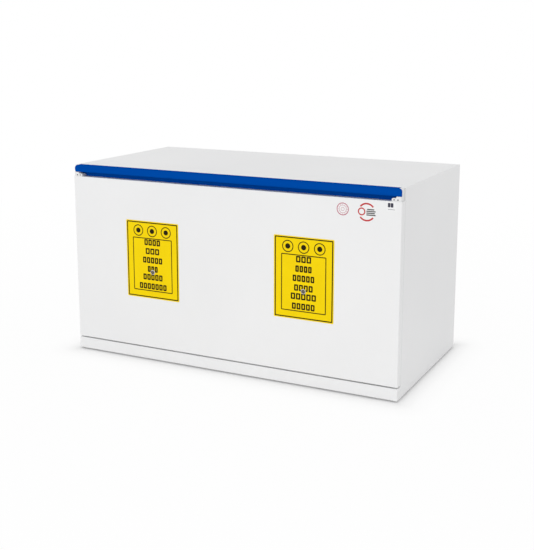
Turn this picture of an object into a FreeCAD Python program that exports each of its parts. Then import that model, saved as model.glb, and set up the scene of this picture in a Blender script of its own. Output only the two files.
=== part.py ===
import FreeCAD, Part
import math
import os
import Sketcher

# Under-bench reagent cabinet with one full-width drawer front.
# X runs to the right, Y to the back, Z up. The origin is on the floor, in the middle of the overall box.
# Left compartment and right compartment each hold a carrier, a sump tray and a perforated insert.

doc = FreeCAD.newDocument("reagent_drawer_cabinet")
sheet = doc.addObject("Spreadsheet::Sheet", "Sizes")
cells = []
nodes = []


# A size is a number together with the sheet expression that gives it.
class Size:
    def __init__(self, value, text):
        self.value = value
        self.text = text

    def __add__(self, other):
        other = as_size(other)
        return Size(self.value + other.value, "(" + self.text + " + " + other.text + ")")

    def __sub__(self, other):
        other = as_size(other)
        return Size(self.value - other.value, "(" + self.text + " - " + other.text + ")")

    def __mul__(self, other):
        other = as_size(other)
        return Size(self.value * other.value, self.text + " * " + other.text)

    def __truediv__(self, other):
        other = as_size(other)
        return Size(self.value / other.value, self.text + " / " + other.text)

    def __neg__(self):
        return Size(-self.value, "(0 - " + self.text + ")")


def as_size(number):
    if isinstance(number, Size):
        return number
    return Size(float(number), repr(number))


def size(alias, number):
    """Write one driving dimension into the sheet and hand it back."""
    cell = "A" + str(len(cells) + 1)
    cells.append(alias)
    sheet.set(cell, str(number))
    sheet.setAlias(cell, alias)
    return Size(float(sheet.getContents(cell)), "Sizes." + alias)


def bind(feature, name, value):
    feature.setExpression(name, as_size(value).text)


def keep(feature, label):
    """Mark a finished object as a sub-part under its own label."""
    feature.Label = label
    nodes.append(feature)
    return feature


# The three sketch planes, each with the sign that turns its normal towards the positive axis.
PLANES = {"XY": ("XY_Plane", 1), "XZ": ("XZ_Plane", -1), "YZ": ("YZ_Plane", 1)}
MATCH = 1e-3


def new_body(name):
    return doc.addObject("PartDesign::Body", name + "_body")


def sketch_on(body, plane, start):
    role, sign = PLANES[plane]
    sketch = body.newObject("Sketcher::SketchObject", body.Name + "_sketch")
    origin_plane = [part for part in body.Origin.OriginFeatures if part.Role == role][0]
    sketch.AttachmentSupport = [(origin_plane, "")]
    sketch.MapMode = "FlatFace"
    bind(sketch, "AttachmentOffset.Base.z", as_size(start) * sign)
    return sketch


def tie_point(sketch, curve, point, place):
    """Hold a point at its two distances from the sketch's origin."""
    for kind, distance in (("DistanceX", place[0]), ("DistanceY", place[1])):
        distance = as_size(distance)
        number = sketch.addConstraint(
            Sketcher.Constraint(kind, -1, 1, curve, point, distance.value))
        sketch.setExpression("Constraints[" + str(number) + "]", distance.text)


def draw_outline(sketch, corners):
    """Draw a closed outline of straight lines through the corners."""
    points = []
    for corner in corners:
        points.append(FreeCAD.Vector(as_size(corner[0]).value, as_size(corner[1]).value, 0))
    first = sketch.GeometryCount
    count = len(points)
    for index in range(count):
        sketch.addGeometry(Part.LineSegment(points[index], points[(index + 1) % count]))
    for index in range(count):
        after = first + (index + 1) % count
        sketch.addConstraint(Sketcher.Constraint("Coincident", first + index, 2, after, 1))
        tie_point(sketch, first + index, 1, corners[index])


def tie_radius(sketch, curve, radius):
    number = sketch.addConstraint(Sketcher.Constraint("Radius", curve, radius.value))
    sketch.setExpression("Constraints[" + str(number) + "]", radius.text)


def draw_circle(sketch, centre, radius):
    middle = FreeCAD.Vector(as_size(centre[0]).value, as_size(centre[1]).value, 0)
    up = FreeCAD.Vector(0, 0, 1)
    curve = sketch.addGeometry(Part.Circle(middle, up, radius.value))
    tie_radius(sketch, curve, radius)
    tie_point(sketch, curve, 3, centre)


def draw_rounded(sketch, low, high, radius):
    """Draw a rectangle with four equal round corners: four arcs, joined by tangent lines."""
    up = FreeCAD.Vector(0, 0, 1)
    near_u = as_size(low[0]) + radius
    near_v = as_size(low[1]) + radius
    far_u = as_size(high[0]) - radius
    far_v = as_size(high[1]) - radius
    quarter = math.pi / 2
    centres = [(near_u, near_v), (far_u, near_v), (far_u, far_v), (near_u, far_v)]
    arcs = []
    for index, centre in enumerate(centres):
        middle = FreeCAD.Vector(centre[0].value, centre[1].value, 0)
        begin = math.pi + quarter * index
        circle = Part.Circle(middle, up, radius.value)
        arcs.append(sketch.addGeometry(Part.ArcOfCircle(circle, begin, begin + quarter)))
    for index, arc in enumerate(arcs):
        after = arcs[(index + 1) % len(arcs)]
        line = sketch.addGeometry(Part.LineSegment(
            sketch.getPoint(arc, 2), sketch.getPoint(after, 1)))
        sketch.addConstraint(Sketcher.Constraint("Tangent", arc, 2, line, 1))
        sketch.addConstraint(Sketcher.Constraint("Tangent", line, 2, after, 1))
    for arc, centre in zip(arcs, centres):
        tie_radius(sketch, arc, radius)
        tie_point(sketch, arc, 3, centre)


def rectangle(low, high):
    return [(low[0], low[1]), (high[0], low[1]), (high[0], high[1]), (low[0], high[1])]


def draw_all(sketch, outlines, circles, rounded):
    for corners in outlines:
        draw_outline(sketch, corners)
    for centre, radius in circles:
        draw_circle(sketch, centre, radius)
    for low, high, radius in rounded:
        draw_rounded(sketch, low, high, radius)


def pad(body, plane, start, end, outlines=(), circles=(), rounded=()):
    """Grow material along the plane's axis, from start to end."""
    sketch = sketch_on(body, plane, start)
    draw_all(sketch, outlines, circles, rounded)
    feature = body.newObject("PartDesign::Pad", body.Name + "_pad")
    feature.Profile = sketch
    feature.Reversed = PLANES[plane][1] < 0
    bind(feature, "Length", as_size(end) - start)
    doc.recompute()
    return feature


def pocket(body, plane, start, end, outlines=(), circles=(), rounded=()):
    """Cut material along the plane's axis, from start to end, and check that some went."""
    before = body.Shape.Volume
    sketch = sketch_on(body, plane, start)
    draw_all(sketch, outlines, circles, rounded)
    feature = body.newObject("PartDesign::Pocket", body.Name + "_pocket")
    feature.Profile = sketch
    feature.Reversed = PLANES[plane][1] > 0
    bind(feature, "Length", as_size(end) - start)
    doc.recompute()
    if body.Shape.Volume >= before:
        raise ValueError(body.Name + " was not cut")
    return feature


def repeat(body, feature, pitch_u, count_u, pitch_v, count_v):
    """Repeat a pocket in rows and columns along its sketch's two axes."""
    pattern = body.newObject("PartDesign::LinearPattern", body.Name + "_pattern")
    pattern.Originals = [feature]
    pattern.Direction = (feature.Profile[0], ["H_Axis"])
    pattern.Mode = "Spacing"
    bind(pattern, "Offset", pitch_u)
    bind(pattern, "Occurrences", count_u)
    pattern.Direction2 = (feature.Profile[0], ["V_Axis"])
    pattern.Mode2 = "Spacing"
    bind(pattern, "Offset2", pitch_v)
    bind(pattern, "Occurrences2", count_v)
    body.Tip = pattern
    doc.recompute()
    # A spacing below zero means the common pitch, and a new second direction starts with a zero.
    pattern.Spacings2 = [-1] * len(pattern.Spacings2)
    doc.recompute()


def straight_edges(shape, axis, places):
    """Name the straight edges along one axis whose middles lie at the given places."""
    names = []
    for number, edge in enumerate(shape.Edges):
        if edge.Curve.TypeId != "Part::GeomLine":
            continue
        direction = edge.tangentAt(edge.FirstParameter)
        if abs(abs(getattr(direction, axis.lower())) - 1) > MATCH:
            continue
        middle = edge.CenterOfMass
        found = True
        for key, wanted in places.items():
            spots = wanted if isinstance(wanted, tuple) else (wanted,)
            here = getattr(middle, key)
            if min(abs(here - as_size(spot).value) for spot in spots) > MATCH:
                found = False
        if found:
            names.append("Edge" + str(number + 1))
    return names


def round_edges(body, radius, axis, **places):
    names = straight_edges(body.Tip.Shape, axis, places)
    if not names:
        raise ValueError(body.Name + " has no such edge")
    feature = body.newObject("PartDesign::Fillet", body.Name + "_round")
    feature.Base = (feature.BaseFeature or body.Tip, names)
    bind(feature, "Radius", radius)
    doc.recompute()
    return feature


def turn(body, corners):
    """Turn an outline about the body's own Z axis."""
    sketch = sketch_on(body, "XZ", 0)
    draw_outline(sketch, corners)
    feature = body.newObject("PartDesign::Revolution", body.Name + "_turned")
    feature.Profile = sketch
    feature.ReferenceAxis = (sketch, ["V_Axis"])
    feature.Angle = 360
    doc.recompute()
    return feature


def place(body, x, y, z):
    bind(body, "Placement.Base.x", x)
    bind(body, "Placement.Base.y", y)
    bind(body, "Placement.Base.z", z)


def block(label, low, high):
    """A plain board or sheet between two corners."""
    piece = doc.addObject("Part::Box", label + "_box")
    bind(piece, "Length", as_size(high[0]) - low[0])
    bind(piece, "Width", as_size(high[1]) - low[1])
    bind(piece, "Height", as_size(high[2]) - low[2])
    place(piece, low[0], low[1], low[2])
    return keep(piece, label)


# Overall sizes of the cabinet
case_width = size("case_width", 1100)
case_depth = size("case_depth", 560)
case_height = size("case_height", 605)
foot_gap = size("foot_gap", 5)
front_thick = size("front_thick", 25)
front_gap = size("front_gap", 3)
front_clear = size("front_clear", 4)
plinth_height = size("plinth_height", 35)
steel_sheet = size("steel_sheet", 1.5)
board_thick = size("board_thick", 16)
bend_radius = size("bend_radius", 3)
edge_round = size("edge_round", 1.2)
grip_height = size("grip_height", 36)
grip_proud = size("grip_proud", 2)
plate_thick = size("plate_thick", 0.6)
cup_thick = size("cup_thick", 1.4)
cap_thick = size("cap_thick", 2)
spigot_reach = size("spigot_reach", 30)
seat_gap = size("seat_gap", 0.3)
overrun = size("overrun", 5)

half_width = case_width / 2
top_z = case_height + foot_gap
plinth_top = plinth_height + foot_gap
fixing_proud = plate_thick + cup_thick + cap_thick
front_y = -(case_depth + spigot_reach - fixing_proud) / 2
rear_of_front = front_y + front_thick
carcass_y = rear_of_front + front_gap
back_y = front_y + case_depth
lining_x = half_width - steel_sheet
inner_x = lining_x - board_thick
lining_back = back_y - steel_sheet
inner_back = lining_back - board_thick
lining_top = top_z - steel_sheet
inner_top = lining_top - board_thick
base_top = plinth_top - board_thick
base_low = base_top - steel_sheet
front_low = plinth_top + front_clear
panel_top = top_z - grip_height
SIDES = (("left", -1), ("right", 1))


def across(sign, near, far):
    """Low and high X of a span that runs outward from the partition."""
    if sign > 0:
        return near, far
    return -far, -near


# Top panel: folded steel sheet with a front lip that covers the edge of the top board
def make_top_panel():
    body = new_body("top_panel")
    flat = rectangle((-half_width, carcass_y), (half_width, back_y))
    pad(body, "XY", lining_top, top_z, [flat])
    lip = rectangle((-inner_x, carcass_y), (inner_x, carcass_y + steel_sheet))
    pad(body, "XY", inner_top, lining_top, [lip])
    round_edges(body, bend_radius, "Z", x=(-half_width, half_width), y=carcass_y)
    round_edges(body, edge_round, "X", y=carcass_y, z=top_z)
    return keep(body, "top_panel")


# Side panels: folded steel sheet, its front return covers the edge of the side board
def make_side_panel(side, sign):
    body = new_body("side_panel_" + side)
    outer = half_width * sign
    lined = lining_x * sign
    inner = inner_x * sign
    corners = [(outer, back_y), (outer, carcass_y), (inner, carcass_y),
               (inner, carcass_y + steel_sheet), (lined, carcass_y + steel_sheet), (lined, back_y)]
    pad(body, "XY", foot_gap, lining_top, [corners])
    round_edges(body, bend_radius, "Z", x=outer, y=carcass_y)
    return keep(body, "side_panel_" + side)


# Exhaust spigots: one flanged tube for each compartment, high on the back
spigot_radius = size("spigot_radius", 37.5)
spigot_wall = size("spigot_wall", 2.5)
spigot_flange = size("spigot_flange", 55)
spigot_flange_thick = size("spigot_flange_thick", 3)
spigot_drop = size("spigot_drop", 82.5)
hole_clear = size("hole_clear", 0.5)
spigot_x = (inner_x + board_thick / 2) / 2
spigot_z = inner_top - spigot_drop


def spigot_circles(radius):
    return [((spigot_x * sign, spigot_z), radius) for side, sign in SIDES]


def make_exhaust_spigot(side, sign):
    body = new_body("exhaust_spigot_" + side)
    centre = (spigot_x * sign, spigot_z)
    bore = spigot_radius - spigot_wall
    pad(body, "XZ", inner_back, back_y + spigot_reach, circles=[(centre, spigot_radius), (centre, bore)])
    pad(body, "XZ", back_y, back_y + spigot_flange_thick,
        circles=[(centre, spigot_flange), (centre, spigot_radius - spigot_wall / 2)])
    return keep(body, "exhaust_spigot_" + side)


# Back screws: pan heads outside the back panel, shanks in the back board
screw_head_radius = size("screw_head_radius", 4.5)
screw_head_thick = size("screw_head_thick", 2.4)
screw_shank_radius = size("screw_shank_radius", 2)
screw_depth = size("screw_depth", 12)
screw_margin = size("screw_margin", 30)
screw_column_shares = (-1, -0.5, 0, 0.5, 1)


def back_screw_places():
    span = lining_x - screw_margin
    low = base_top + screw_margin
    high = lining_top - screw_margin
    places = []
    for share in screw_column_shares:
        places.append((span * share, low))
        places.append((span * share, high))
    places.append((-span, (low + high) / 2))
    places.append((span, (low + high) / 2))
    return places


def screw_circles(radius):
    return [(centre, radius) for centre in back_screw_places()]


def make_back_screws():
    body = new_body("back_screws")
    pad(body, "XZ", back_y, back_y + screw_head_thick, circles=screw_circles(screw_head_radius))
    pad(body, "XZ", back_y - screw_depth, back_y, circles=screw_circles(screw_shank_radius))
    return keep(body, "back_screws")


# Back panel: flat steel sheet between the side panels, with the spigot and screw holes
def make_back_panel():
    body = new_body("back_panel")
    flat = rectangle((-lining_x, foot_gap), (lining_x, lining_top))
    pad(body, "XZ", lining_back, back_y, [flat])
    holes = spigot_circles(spigot_radius + hole_clear) + screw_circles(screw_shank_radius + hole_clear / 2)
    pocket(body, "XZ", lining_back - overrun, back_y + overrun, circles=holes)
    return keep(body, "back_panel")


# Back board: lines the back, with the same spigot holes and pilot holes for the screws
def make_liner_back():
    body = new_body("liner_back")
    flat = rectangle((-lining_x, base_top), (lining_x, lining_top))
    pad(body, "XZ", inner_back, lining_back, [flat])
    pocket(body, "XZ", inner_back - overrun, lining_back + overrun,
           circles=spigot_circles(spigot_radius + hole_clear))
    pocket(body, "XZ", back_y - screw_depth - hole_clear, lining_back + overrun,
           circles=screw_circles(screw_shank_radius + hole_clear / 2))
    return keep(body, "liner_back")


# Feet: four levelling feet, each a threaded stud in a pad, screwed into an insert in the floor board
stud_radius = size("stud_radius", 5)
stud_clear = size("stud_clear", 0.05)
stud_top_drop = size("stud_top_drop", 1)
pad_radius = size("pad_radius", 20)
pad_height = size("pad_height", 8)
pad_shoulder = size("pad_shoulder", 14)
pad_lift = size("pad_lift", 0.1)
pad_floor = size("pad_floor", 2)
pad_seat_clear = size("pad_seat_clear", 0.1)
nut_radius = size("nut_radius", 8.5)
nut_height = size("nut_height", 5)
insert_radius = size("insert_radius", 7.5)
insert_flange_radius = size("insert_flange_radius", 13)
insert_flange_thick = size("insert_flange_thick", 1.5)
foot_inset = size("foot_inset", 55)
FEET = (("front_left", -1, 0), ("front_right", 1, 0), ("back_left", -1, 1), ("back_right", 1, 1))


def foot_place(sign, row):
    front_row = carcass_y + foot_inset
    back_row = back_y - foot_inset
    return (half_width - foot_inset) * sign, (back_row if row else front_row)


def foot_circles(radius):
    return [(foot_place(sign, row), radius) for name, sign, row in FEET]


def make_foot_stud(name, sign, row):
    body = new_body("foot_stud_" + name)
    top = plinth_top - stud_top_drop
    low = pad_height + pad_lift
    collar = low + nut_height
    turn(body, [(0, pad_floor), (stud_radius, pad_floor), (stud_radius, low), (nut_radius, low),
                (nut_radius, collar), (stud_radius, collar), (stud_radius, top), (0, top)])
    across = foot_place(sign, row)
    place(body, across[0], across[1], 0)
    return keep(body, "foot_stud_" + name)


def make_foot_pad(name, sign, row):
    body = new_body("foot_pad_" + name)
    bore = stud_radius + pad_seat_clear
    turn(body, [(0, 0), (pad_radius, 0), (pad_radius, pad_height / 2), (pad_shoulder, pad_height),
                (bore, pad_height), (bore, pad_floor), (0, pad_floor)])
    across = foot_place(sign, row)
    place(body, across[0], across[1], 0)
    return keep(body, "foot_pad_" + name)


def make_foot_inserts():
    body = new_body("foot_inserts")
    bore = stud_radius + stud_clear
    pad(body, "XY", base_low - insert_flange_thick, base_low,
        circles=foot_circles(insert_flange_radius) + foot_circles(bore))
    pad(body, "XY", base_low, plinth_top,
        circles=foot_circles(insert_radius) + foot_circles(bore))
    return keep(body, "foot_inserts")


# Base panel and floor board, with holes for the foot inserts
def make_base_panel():
    body = new_body("base_panel")
    flat = rectangle((-lining_x, carcass_y), (lining_x, lining_back))
    pad(body, "XY", base_low, base_top, [flat])
    pocket(body, "XY", base_low - overrun, base_top + overrun,
           circles=foot_circles(insert_radius + hole_clear / 2))
    corner = rectangle((inner_x, carcass_y - overrun), (half_width, carcass_y + steel_sheet))
    mirrored = rectangle((-half_width, carcass_y - overrun), (-inner_x, carcass_y + steel_sheet))
    pocket(body, "XY", base_low - overrun, base_top + overrun, [corner, mirrored])
    return keep(body, "base_panel")


def make_liner_floor():
    body = new_body("liner_floor")
    flat = rectangle((-inner_x, carcass_y), (inner_x, inner_back))
    pad(body, "XY", base_top, plinth_top, [flat])
    pocket(body, "XY", base_top - overrun, plinth_top + overrun,
           circles=foot_circles(insert_radius + hole_clear / 2))
    return keep(body, "liner_floor")


# Plinth rail: pressed pan below the drawer front, open below and behind, flush with front and sides
def make_plinth_rail():
    body = new_body("plinth_rail")
    outer = rectangle((-half_width, front_y), (half_width, carcass_y))
    pad(body, "XY", foot_gap, plinth_top, [outer])
    hollow = rectangle((-lining_x, front_y + steel_sheet), (lining_x, carcass_y + overrun))
    pocket(body, "XY", foot_gap - overrun, plinth_top - steel_sheet, [hollow])
    round_edges(body, bend_radius, "Z", x=(-half_width, half_width), y=front_y)
    round_edges(body, edge_round, "X", y=front_y, z=plinth_top)
    return keep(body, "plinth_rail")


# Lining boards of the casing and the partition between the two compartments
def make_boards():
    front = carcass_y + steel_sheet
    block("liner_top", (-lining_x, front, inner_top), (lining_x, inner_back, lining_top))
    for side, sign in SIDES:
        near = inner_x if sign > 0 else -lining_x
        far = lining_x if sign > 0 else -inner_x
        block("liner_" + side, (near, front, base_top), (far, inner_back, inner_top))
    half = board_thick / 2
    block("partition_board", (-half, carcass_y, plinth_top), (half, inner_back, inner_top))


# Front seal: one flat foam strip round the two openings, stuck to the casing's front edges
seal_width = size("seal_width", 11)


def make_front_seal():
    body = new_body("front_seal")
    middle_x = (half_width + inner_x) / 2
    half = seal_width / 2
    outside = middle_x + half
    inside = middle_x - half
    low = plinth_top + front_clear
    high = (top_z + inner_top) / 2 + half
    under = high - seal_width
    corners = [(-outside, low), (-outside, high), (outside, high), (outside, low), (inside, low),
               (inside, under), (half, under), (half, low), (-half, low), (-half, under),
               (-inside, under), (-inside, low)]
    pad(body, "XZ", rear_of_front + seat_gap, carcass_y, [corners])
    return keep(body, "front_seal")


# Vent covers: flat slotted plates inside, over the mouths of the exhaust spigots
cover_width = size("cover_width", 220)
cover_height = size("cover_height", 110)
slot_width = size("slot_width", 4)
slot_height = size("slot_height", 70)
slot_pitch = size("slot_pitch", 10)
slot_count = size("slot_count", 19)
single = size("single", 1)


def make_vent_cover(side, sign):
    body = new_body("vent_cover_" + side)
    middle = spigot_x * sign
    half = cover_width / 2
    rise = cover_height / 2
    face = inner_back - steel_sheet
    outer = rectangle((middle - half, spigot_z - rise), (middle + half, spigot_z + rise))
    pad(body, "XZ", face, inner_back, [outer])
    first = middle - slot_pitch * (slot_count - 1) / 2
    low = spigot_z - slot_height / 2
    slot = rectangle((first - slot_width / 2, low), (first + slot_width / 2, low + slot_height))
    cut = pocket(body, "XZ", face - overrun, inner_back + overrun, [slot])
    repeat(body, cut, slot_pitch, slot_count, slot_pitch, single)
    return keep(body, "vent_cover_" + side)


# Runners: four telescopic slides, each a fixed, a middle and an inner channel nested in one another
runner_depth = size("runner_depth", 13)
runner_tall = size("runner_tall", 45)
runner_sheet = size("runner_sheet", 1.5)
runner_play = size("runner_play", 0.5)
runner_back_clear = size("runner_back_clear", 26.5)
runner_front = size("runner_front", 8)
runner_rise = size("runner_rise", 74)
RUNNERS = (("left_wall", -1, 1), ("left_middle", -1, 0), ("right_middle", 1, 0), ("right_wall", 1, 1))
runner_y = carcass_y + runner_front
runner_length = inner_back - runner_back_clear - runner_y
runner_z = runner_rise + foot_gap


def runner_base(side_sign, at_wall):
    """The face that the fixed channel sits on, and the direction from it to the carrier."""
    if at_wall:
        return inner_x * side_sign, -side_sign
    return board_thick / 2 * side_sign, side_sign


def channel(label, side_sign, at_wall, web_near, web_far, edge, half_tall):
    """A C channel: web between two depths, flanges reaching to the edge depth."""
    base, toward = runner_base(side_sign, at_wall)
    body = new_body(label)
    near = base + web_near * toward
    far = base + web_far * toward
    tip = base + edge * toward
    inner = half_tall - runner_sheet
    corners = [(near, runner_z - half_tall), (tip, runner_z - half_tall), (tip, runner_z - inner),
               (far, runner_z - inner), (far, runner_z + inner), (tip, runner_z + inner),
               (tip, runner_z + half_tall), (near, runner_z + half_tall)]
    pad(body, "XZ", runner_y, runner_y + runner_length, [corners])
    return keep(body, label)


def make_runners(place_name, side_sign, at_wall):
    step = runner_sheet + runner_play
    half = runner_tall / 2
    reach = runner_depth - runner_play
    channel("runner_fixed_" + place_name, side_sign, at_wall, as_size(0), runner_sheet, reach, half)
    channel("runner_centre_" + place_name, side_sign, at_wall, step, step + runner_sheet, reach,
            half - step)
    channel("runner_drawer_" + place_name, side_sign, at_wall, runner_depth, runner_depth - runner_sheet,
            step * 2, half - step * 2)


# Drawer front: folded steel pan with a board inside it, rebated at the top for the foot of the grip rail
fixing_x = size("fixing_x", 258)
fixing_drop = size("fixing_drop", 20)
fixing_shank_radius = size("fixing_shank_radius", 2.5)
grip_inset = size("grip_inset", 3)
grip_wall = size("grip_wall", 2)
grip_foot = size("grip_foot", 12)
front_middle = (front_low + panel_top) / 2
fixing_z = front_middle - fixing_drop
grip_x = half_width - grip_inset
channel_back = rear_of_front - grip_wall


def fixing_circles(radius):
    return [((fixing_x * sign, fixing_z), radius) for side, sign in SIDES]


def cut_rebate(body):
    rebate = rectangle((channel_back, panel_top - grip_foot),
                       (rear_of_front + overrun, panel_top + overrun))
    pocket(body, "YZ", -grip_x, grip_x, [rebate])


def make_front_skin():
    body = new_body("front_skin")
    outer = rectangle((-half_width, front_low), (half_width, panel_top))
    pad(body, "XZ", front_y, rear_of_front, [outer])
    hollow = rectangle((-lining_x, front_low + steel_sheet), (lining_x, panel_top - steel_sheet))
    pocket(body, "XZ", front_y + steel_sheet, rear_of_front + overrun, [hollow])
    pocket(body, "XZ", front_y - overrun, front_y + front_thick / 2,
           circles=fixing_circles(fixing_shank_radius + hole_clear / 2))
    round_edges(body, bend_radius, "Z", x=(-half_width, half_width), y=front_y)
    round_edges(body, edge_round, "X", y=front_y, z=(front_low, panel_top))
    cut_rebate(body)
    return keep(body, "front_skin")


def make_front_board():
    body = new_body("front_board")
    flat = rectangle((-lining_x, front_low + steel_sheet), (lining_x, panel_top - steel_sheet))
    pad(body, "XZ", front_y + steel_sheet, rear_of_front, [flat])
    pocket(body, "XZ", front_y, rear_of_front + overrun,
           circles=fixing_circles(fixing_shank_radius + hole_clear / 2))
    cut_rebate(body)
    return keep(body, "front_board")


# Grip rail: extruded profile along the top of the drawer front, a rounded lip over a finger channel
lip_height = size("lip_height", 22)
lip_thick = size("lip_thick", 8)
lip_round = size("lip_round", 9)
lip_nose_round = size("lip_nose_round", 6)
lip_edge_round = size("lip_edge_round", 1.5)
channel_round = size("channel_round", 4)
lip_front = front_y - grip_proud
lip_back = lip_front + lip_thick
lip_low = top_z - lip_height
ceiling = top_z - grip_wall


def make_grip_rail():
    body = new_body("grip_rail")
    foot = panel_top - grip_foot
    corners = [(lip_front, top_z), (rear_of_front, top_z), (rear_of_front, foot), (channel_back, foot),
               (channel_back, ceiling), (lip_back, ceiling), (lip_back, lip_low), (lip_front, lip_low)]
    pad(body, "YZ", -grip_x, grip_x, [corners])
    round_edges(body, lip_round, "X", y=lip_front, z=top_z)
    round_edges(body, lip_nose_round, "X", y=lip_front, z=lip_low)
    round_edges(body, lip_edge_round, "X", y=lip_back, z=lip_low)
    round_edges(body, channel_round, "X", y=(channel_back, lip_back), z=ceiling)
    return keep(body, "grip_rail")


# Grip ends: moulded blocks that close the finger channel at both ends, stepped towards the middle
grip_end_length = size("grip_end_length", 28)
end_step_length = size("end_step_length", 15)
end_step_height = size("end_step_height", 9)
end_block_setback = size("end_block_setback", 1)
end_nose_round = size("end_nose_round", 4)
end_key_inset = size("end_key_inset", 8)
end_screw_radius = size("end_screw_radius", 2.2)
end_screw_head = size("end_screw_head", 1)
end_screw_insets = (size("end_screw_near", 10), size("end_screw_far", 21))
end_face = front_y + end_block_setback
end_screw_z = panel_top + end_step_height / 2


def end_screw_circles(radius, sides=SIDES):
    return [(((grip_x - inset) * sign, end_screw_z), radius)
            for side, sign in sides for inset in end_screw_insets]


def make_grip_end(side, sign):
    body = new_body("grip_end_" + side)
    outer = grip_x * sign
    inner = (grip_x - grip_end_length) * sign
    step_x = (grip_x - end_step_length) * sign
    shelf = panel_top + end_step_height
    roof = lip_low - seat_gap
    key_front = lip_back + seat_gap
    key_top = ceiling - seat_gap
    deep = channel_back - seat_gap
    corners = [(outer, panel_top), (inner, panel_top), (inner, shelf), (step_x, shelf),
               (step_x, roof), (outer, roof)]
    pad(body, "XZ", end_face, deep, [corners])
    low, high = across(sign, grip_x - end_step_length, grip_x - end_key_inset)
    pad(body, "XZ", key_front, deep, [rectangle((low, roof), (high, key_top))])
    round_edges(body, channel_round, "X", y=(key_front, deep), z=key_top)
    round_edges(body, end_nose_round, "Y", x=inner, z=shelf)
    pocket(body, "XZ", end_face - overrun, end_face + end_screw_head,
           circles=end_screw_circles(end_screw_radius + hole_clear / 2, [(side, sign)]))
    return keep(body, "grip_end_" + side)


def make_grip_end_screws():
    body = new_body("grip_end_screws")
    pad(body, "XZ", end_face, end_face + end_screw_head, circles=end_screw_circles(end_screw_radius))
    return keep(body, "grip_end_screws")


# Label plates: bare yellow plates in front of the two compartments
plate_width = size("plate_width", 190)
plate_height = size("plate_height", 246)
plate_lift = size("plate_lift", 18)
plate_corner = size("plate_corner", 3)


def make_label_plate(side, sign):
    body = new_body("label_plate_" + side)
    middle = fixing_x * sign
    centre_z = front_middle + plate_lift
    low = (middle - plate_width / 2, centre_z - plate_height / 2)
    high = (middle + plate_width / 2, centre_z + plate_height / 2)
    hole = ((middle, fixing_z), fixing_shank_radius + hole_clear / 2)
    pad(body, "XZ", front_y - plate_thick, front_y, [rectangle(low, high)], [hole])
    round_edges(body, plate_corner, "Y", x=(low[0], high[0]), z=(low[1], high[1]))
    return keep(body, "label_plate_" + side)


# Panel screws: each clamps the front to the upright post behind it, with a cup washer outside
cup_radius = size("cup_radius", 8)
cap_radius = size("cap_radius", 5.5)
post_depth = size("post_depth", 20)
post_width = size("post_width", 60)


def make_panel_screws():
    body = new_body("panel_screws")
    plate_face = front_y - plate_thick
    tip = rear_of_front + post_depth / 2
    pad(body, "XZ", plate_face - cup_thick, plate_face, circles=fixing_circles(cup_radius))
    pad(body, "XZ", plate_face - cup_thick - cap_thick, plate_face - cup_thick,
        circles=fixing_circles(cap_radius))
    pad(body, "XZ", plate_face, tip, circles=fixing_circles(fixing_shank_radius))
    return keep(body, "panel_screws")


# Tray carriers: folded steel pans between the runners, one in each compartment
carrier_rise = size("carrier_rise", 39)
carrier_wall = size("carrier_wall", 70)
carrier_back_clear = size("carrier_back_clear", 21.5)
carrier_low = carrier_rise + foot_gap
carrier_top = carrier_low + carrier_wall
carrier_floor = carrier_low + steel_sheet
carrier_y = rear_of_front + post_depth
carrier_back = inner_back - carrier_back_clear
carrier_near = board_thick / 2 + runner_depth
carrier_far = inner_x - runner_depth


def make_tray_carrier(side, sign):
    body = new_body("tray_carrier_" + side)
    low, high = across(sign, carrier_near, carrier_far)
    pad(body, "XY", carrier_low, carrier_top, [rectangle((low, carrier_y), (high, carrier_back))])
    hollow = rectangle((low + steel_sheet, carrier_y + steel_sheet),
                       (high - steel_sheet, carrier_back - steel_sheet))
    pocket(body, "XY", carrier_floor, carrier_top + overrun, [hollow])
    return keep(body, "tray_carrier_" + side)


# Front posts: upright channels that join the carriers to the drawer front
post_top = fixing_z + post_width


def make_front_post(side, sign):
    body = new_body("front_post_" + side)
    middle = fixing_x * sign
    low = middle - post_width / 2
    high = middle + post_width / 2
    back = carrier_y
    web = rear_of_front + steel_sheet
    corners = [(low, rear_of_front), (high, rear_of_front), (high, back), (high - steel_sheet, back),
               (high - steel_sheet, web), (low + steel_sheet, web), (low + steel_sheet, back), (low, back)]
    pad(body, "XY", front_low + steel_sheet, post_top, [corners])
    pocket(body, "XZ", rear_of_front - overrun, web + steel_sheet,
           circles=[((middle, fixing_z), fixing_shank_radius + hole_clear / 2)])
    return keep(body, "front_post_" + side)


# Gussets: triangular side plates between the carriers' walls and the drawer front
gusset_drop = size("gusset_drop", 269)
gusset_nose = size("gusset_nose", 14)
gusset_run = size("gusset_run", 190)
gusset_flange = size("gusset_flange", 16)
GUSSETS = (("left_outer", -1, 1), ("left_inner", -1, 0), ("right_inner", 1, 0), ("right_outer", 1, 1))


def make_gusset(name, sign, outer):
    body = new_body("gusset_" + name)
    wall = (carrier_far - steel_sheet) if outer else (carrier_near + steel_sheet)
    inward = -sign if outer else sign
    face = wall * sign
    inside = face + steel_sheet * inward
    low = inside if inward < 0 else face
    high = face if inward < 0 else inside
    top = panel_top - gusset_drop
    front = rear_of_front
    corners = [(front, carrier_top), (carrier_y + steel_sheet, carrier_top),
               (carrier_y + steel_sheet, carrier_floor), (front + gusset_run, carrier_floor),
               (front + gusset_run, carrier_top), (front + gusset_nose, top), (front, top)]
    pad(body, "YZ", low, high, [corners])
    tip = face + gusset_flange * inward
    flange = rectangle((inside, carrier_top), (tip, top))
    pad(body, "XZ", front, front + steel_sheet, [flange])
    return keep(body, "gusset_" + name)


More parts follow.
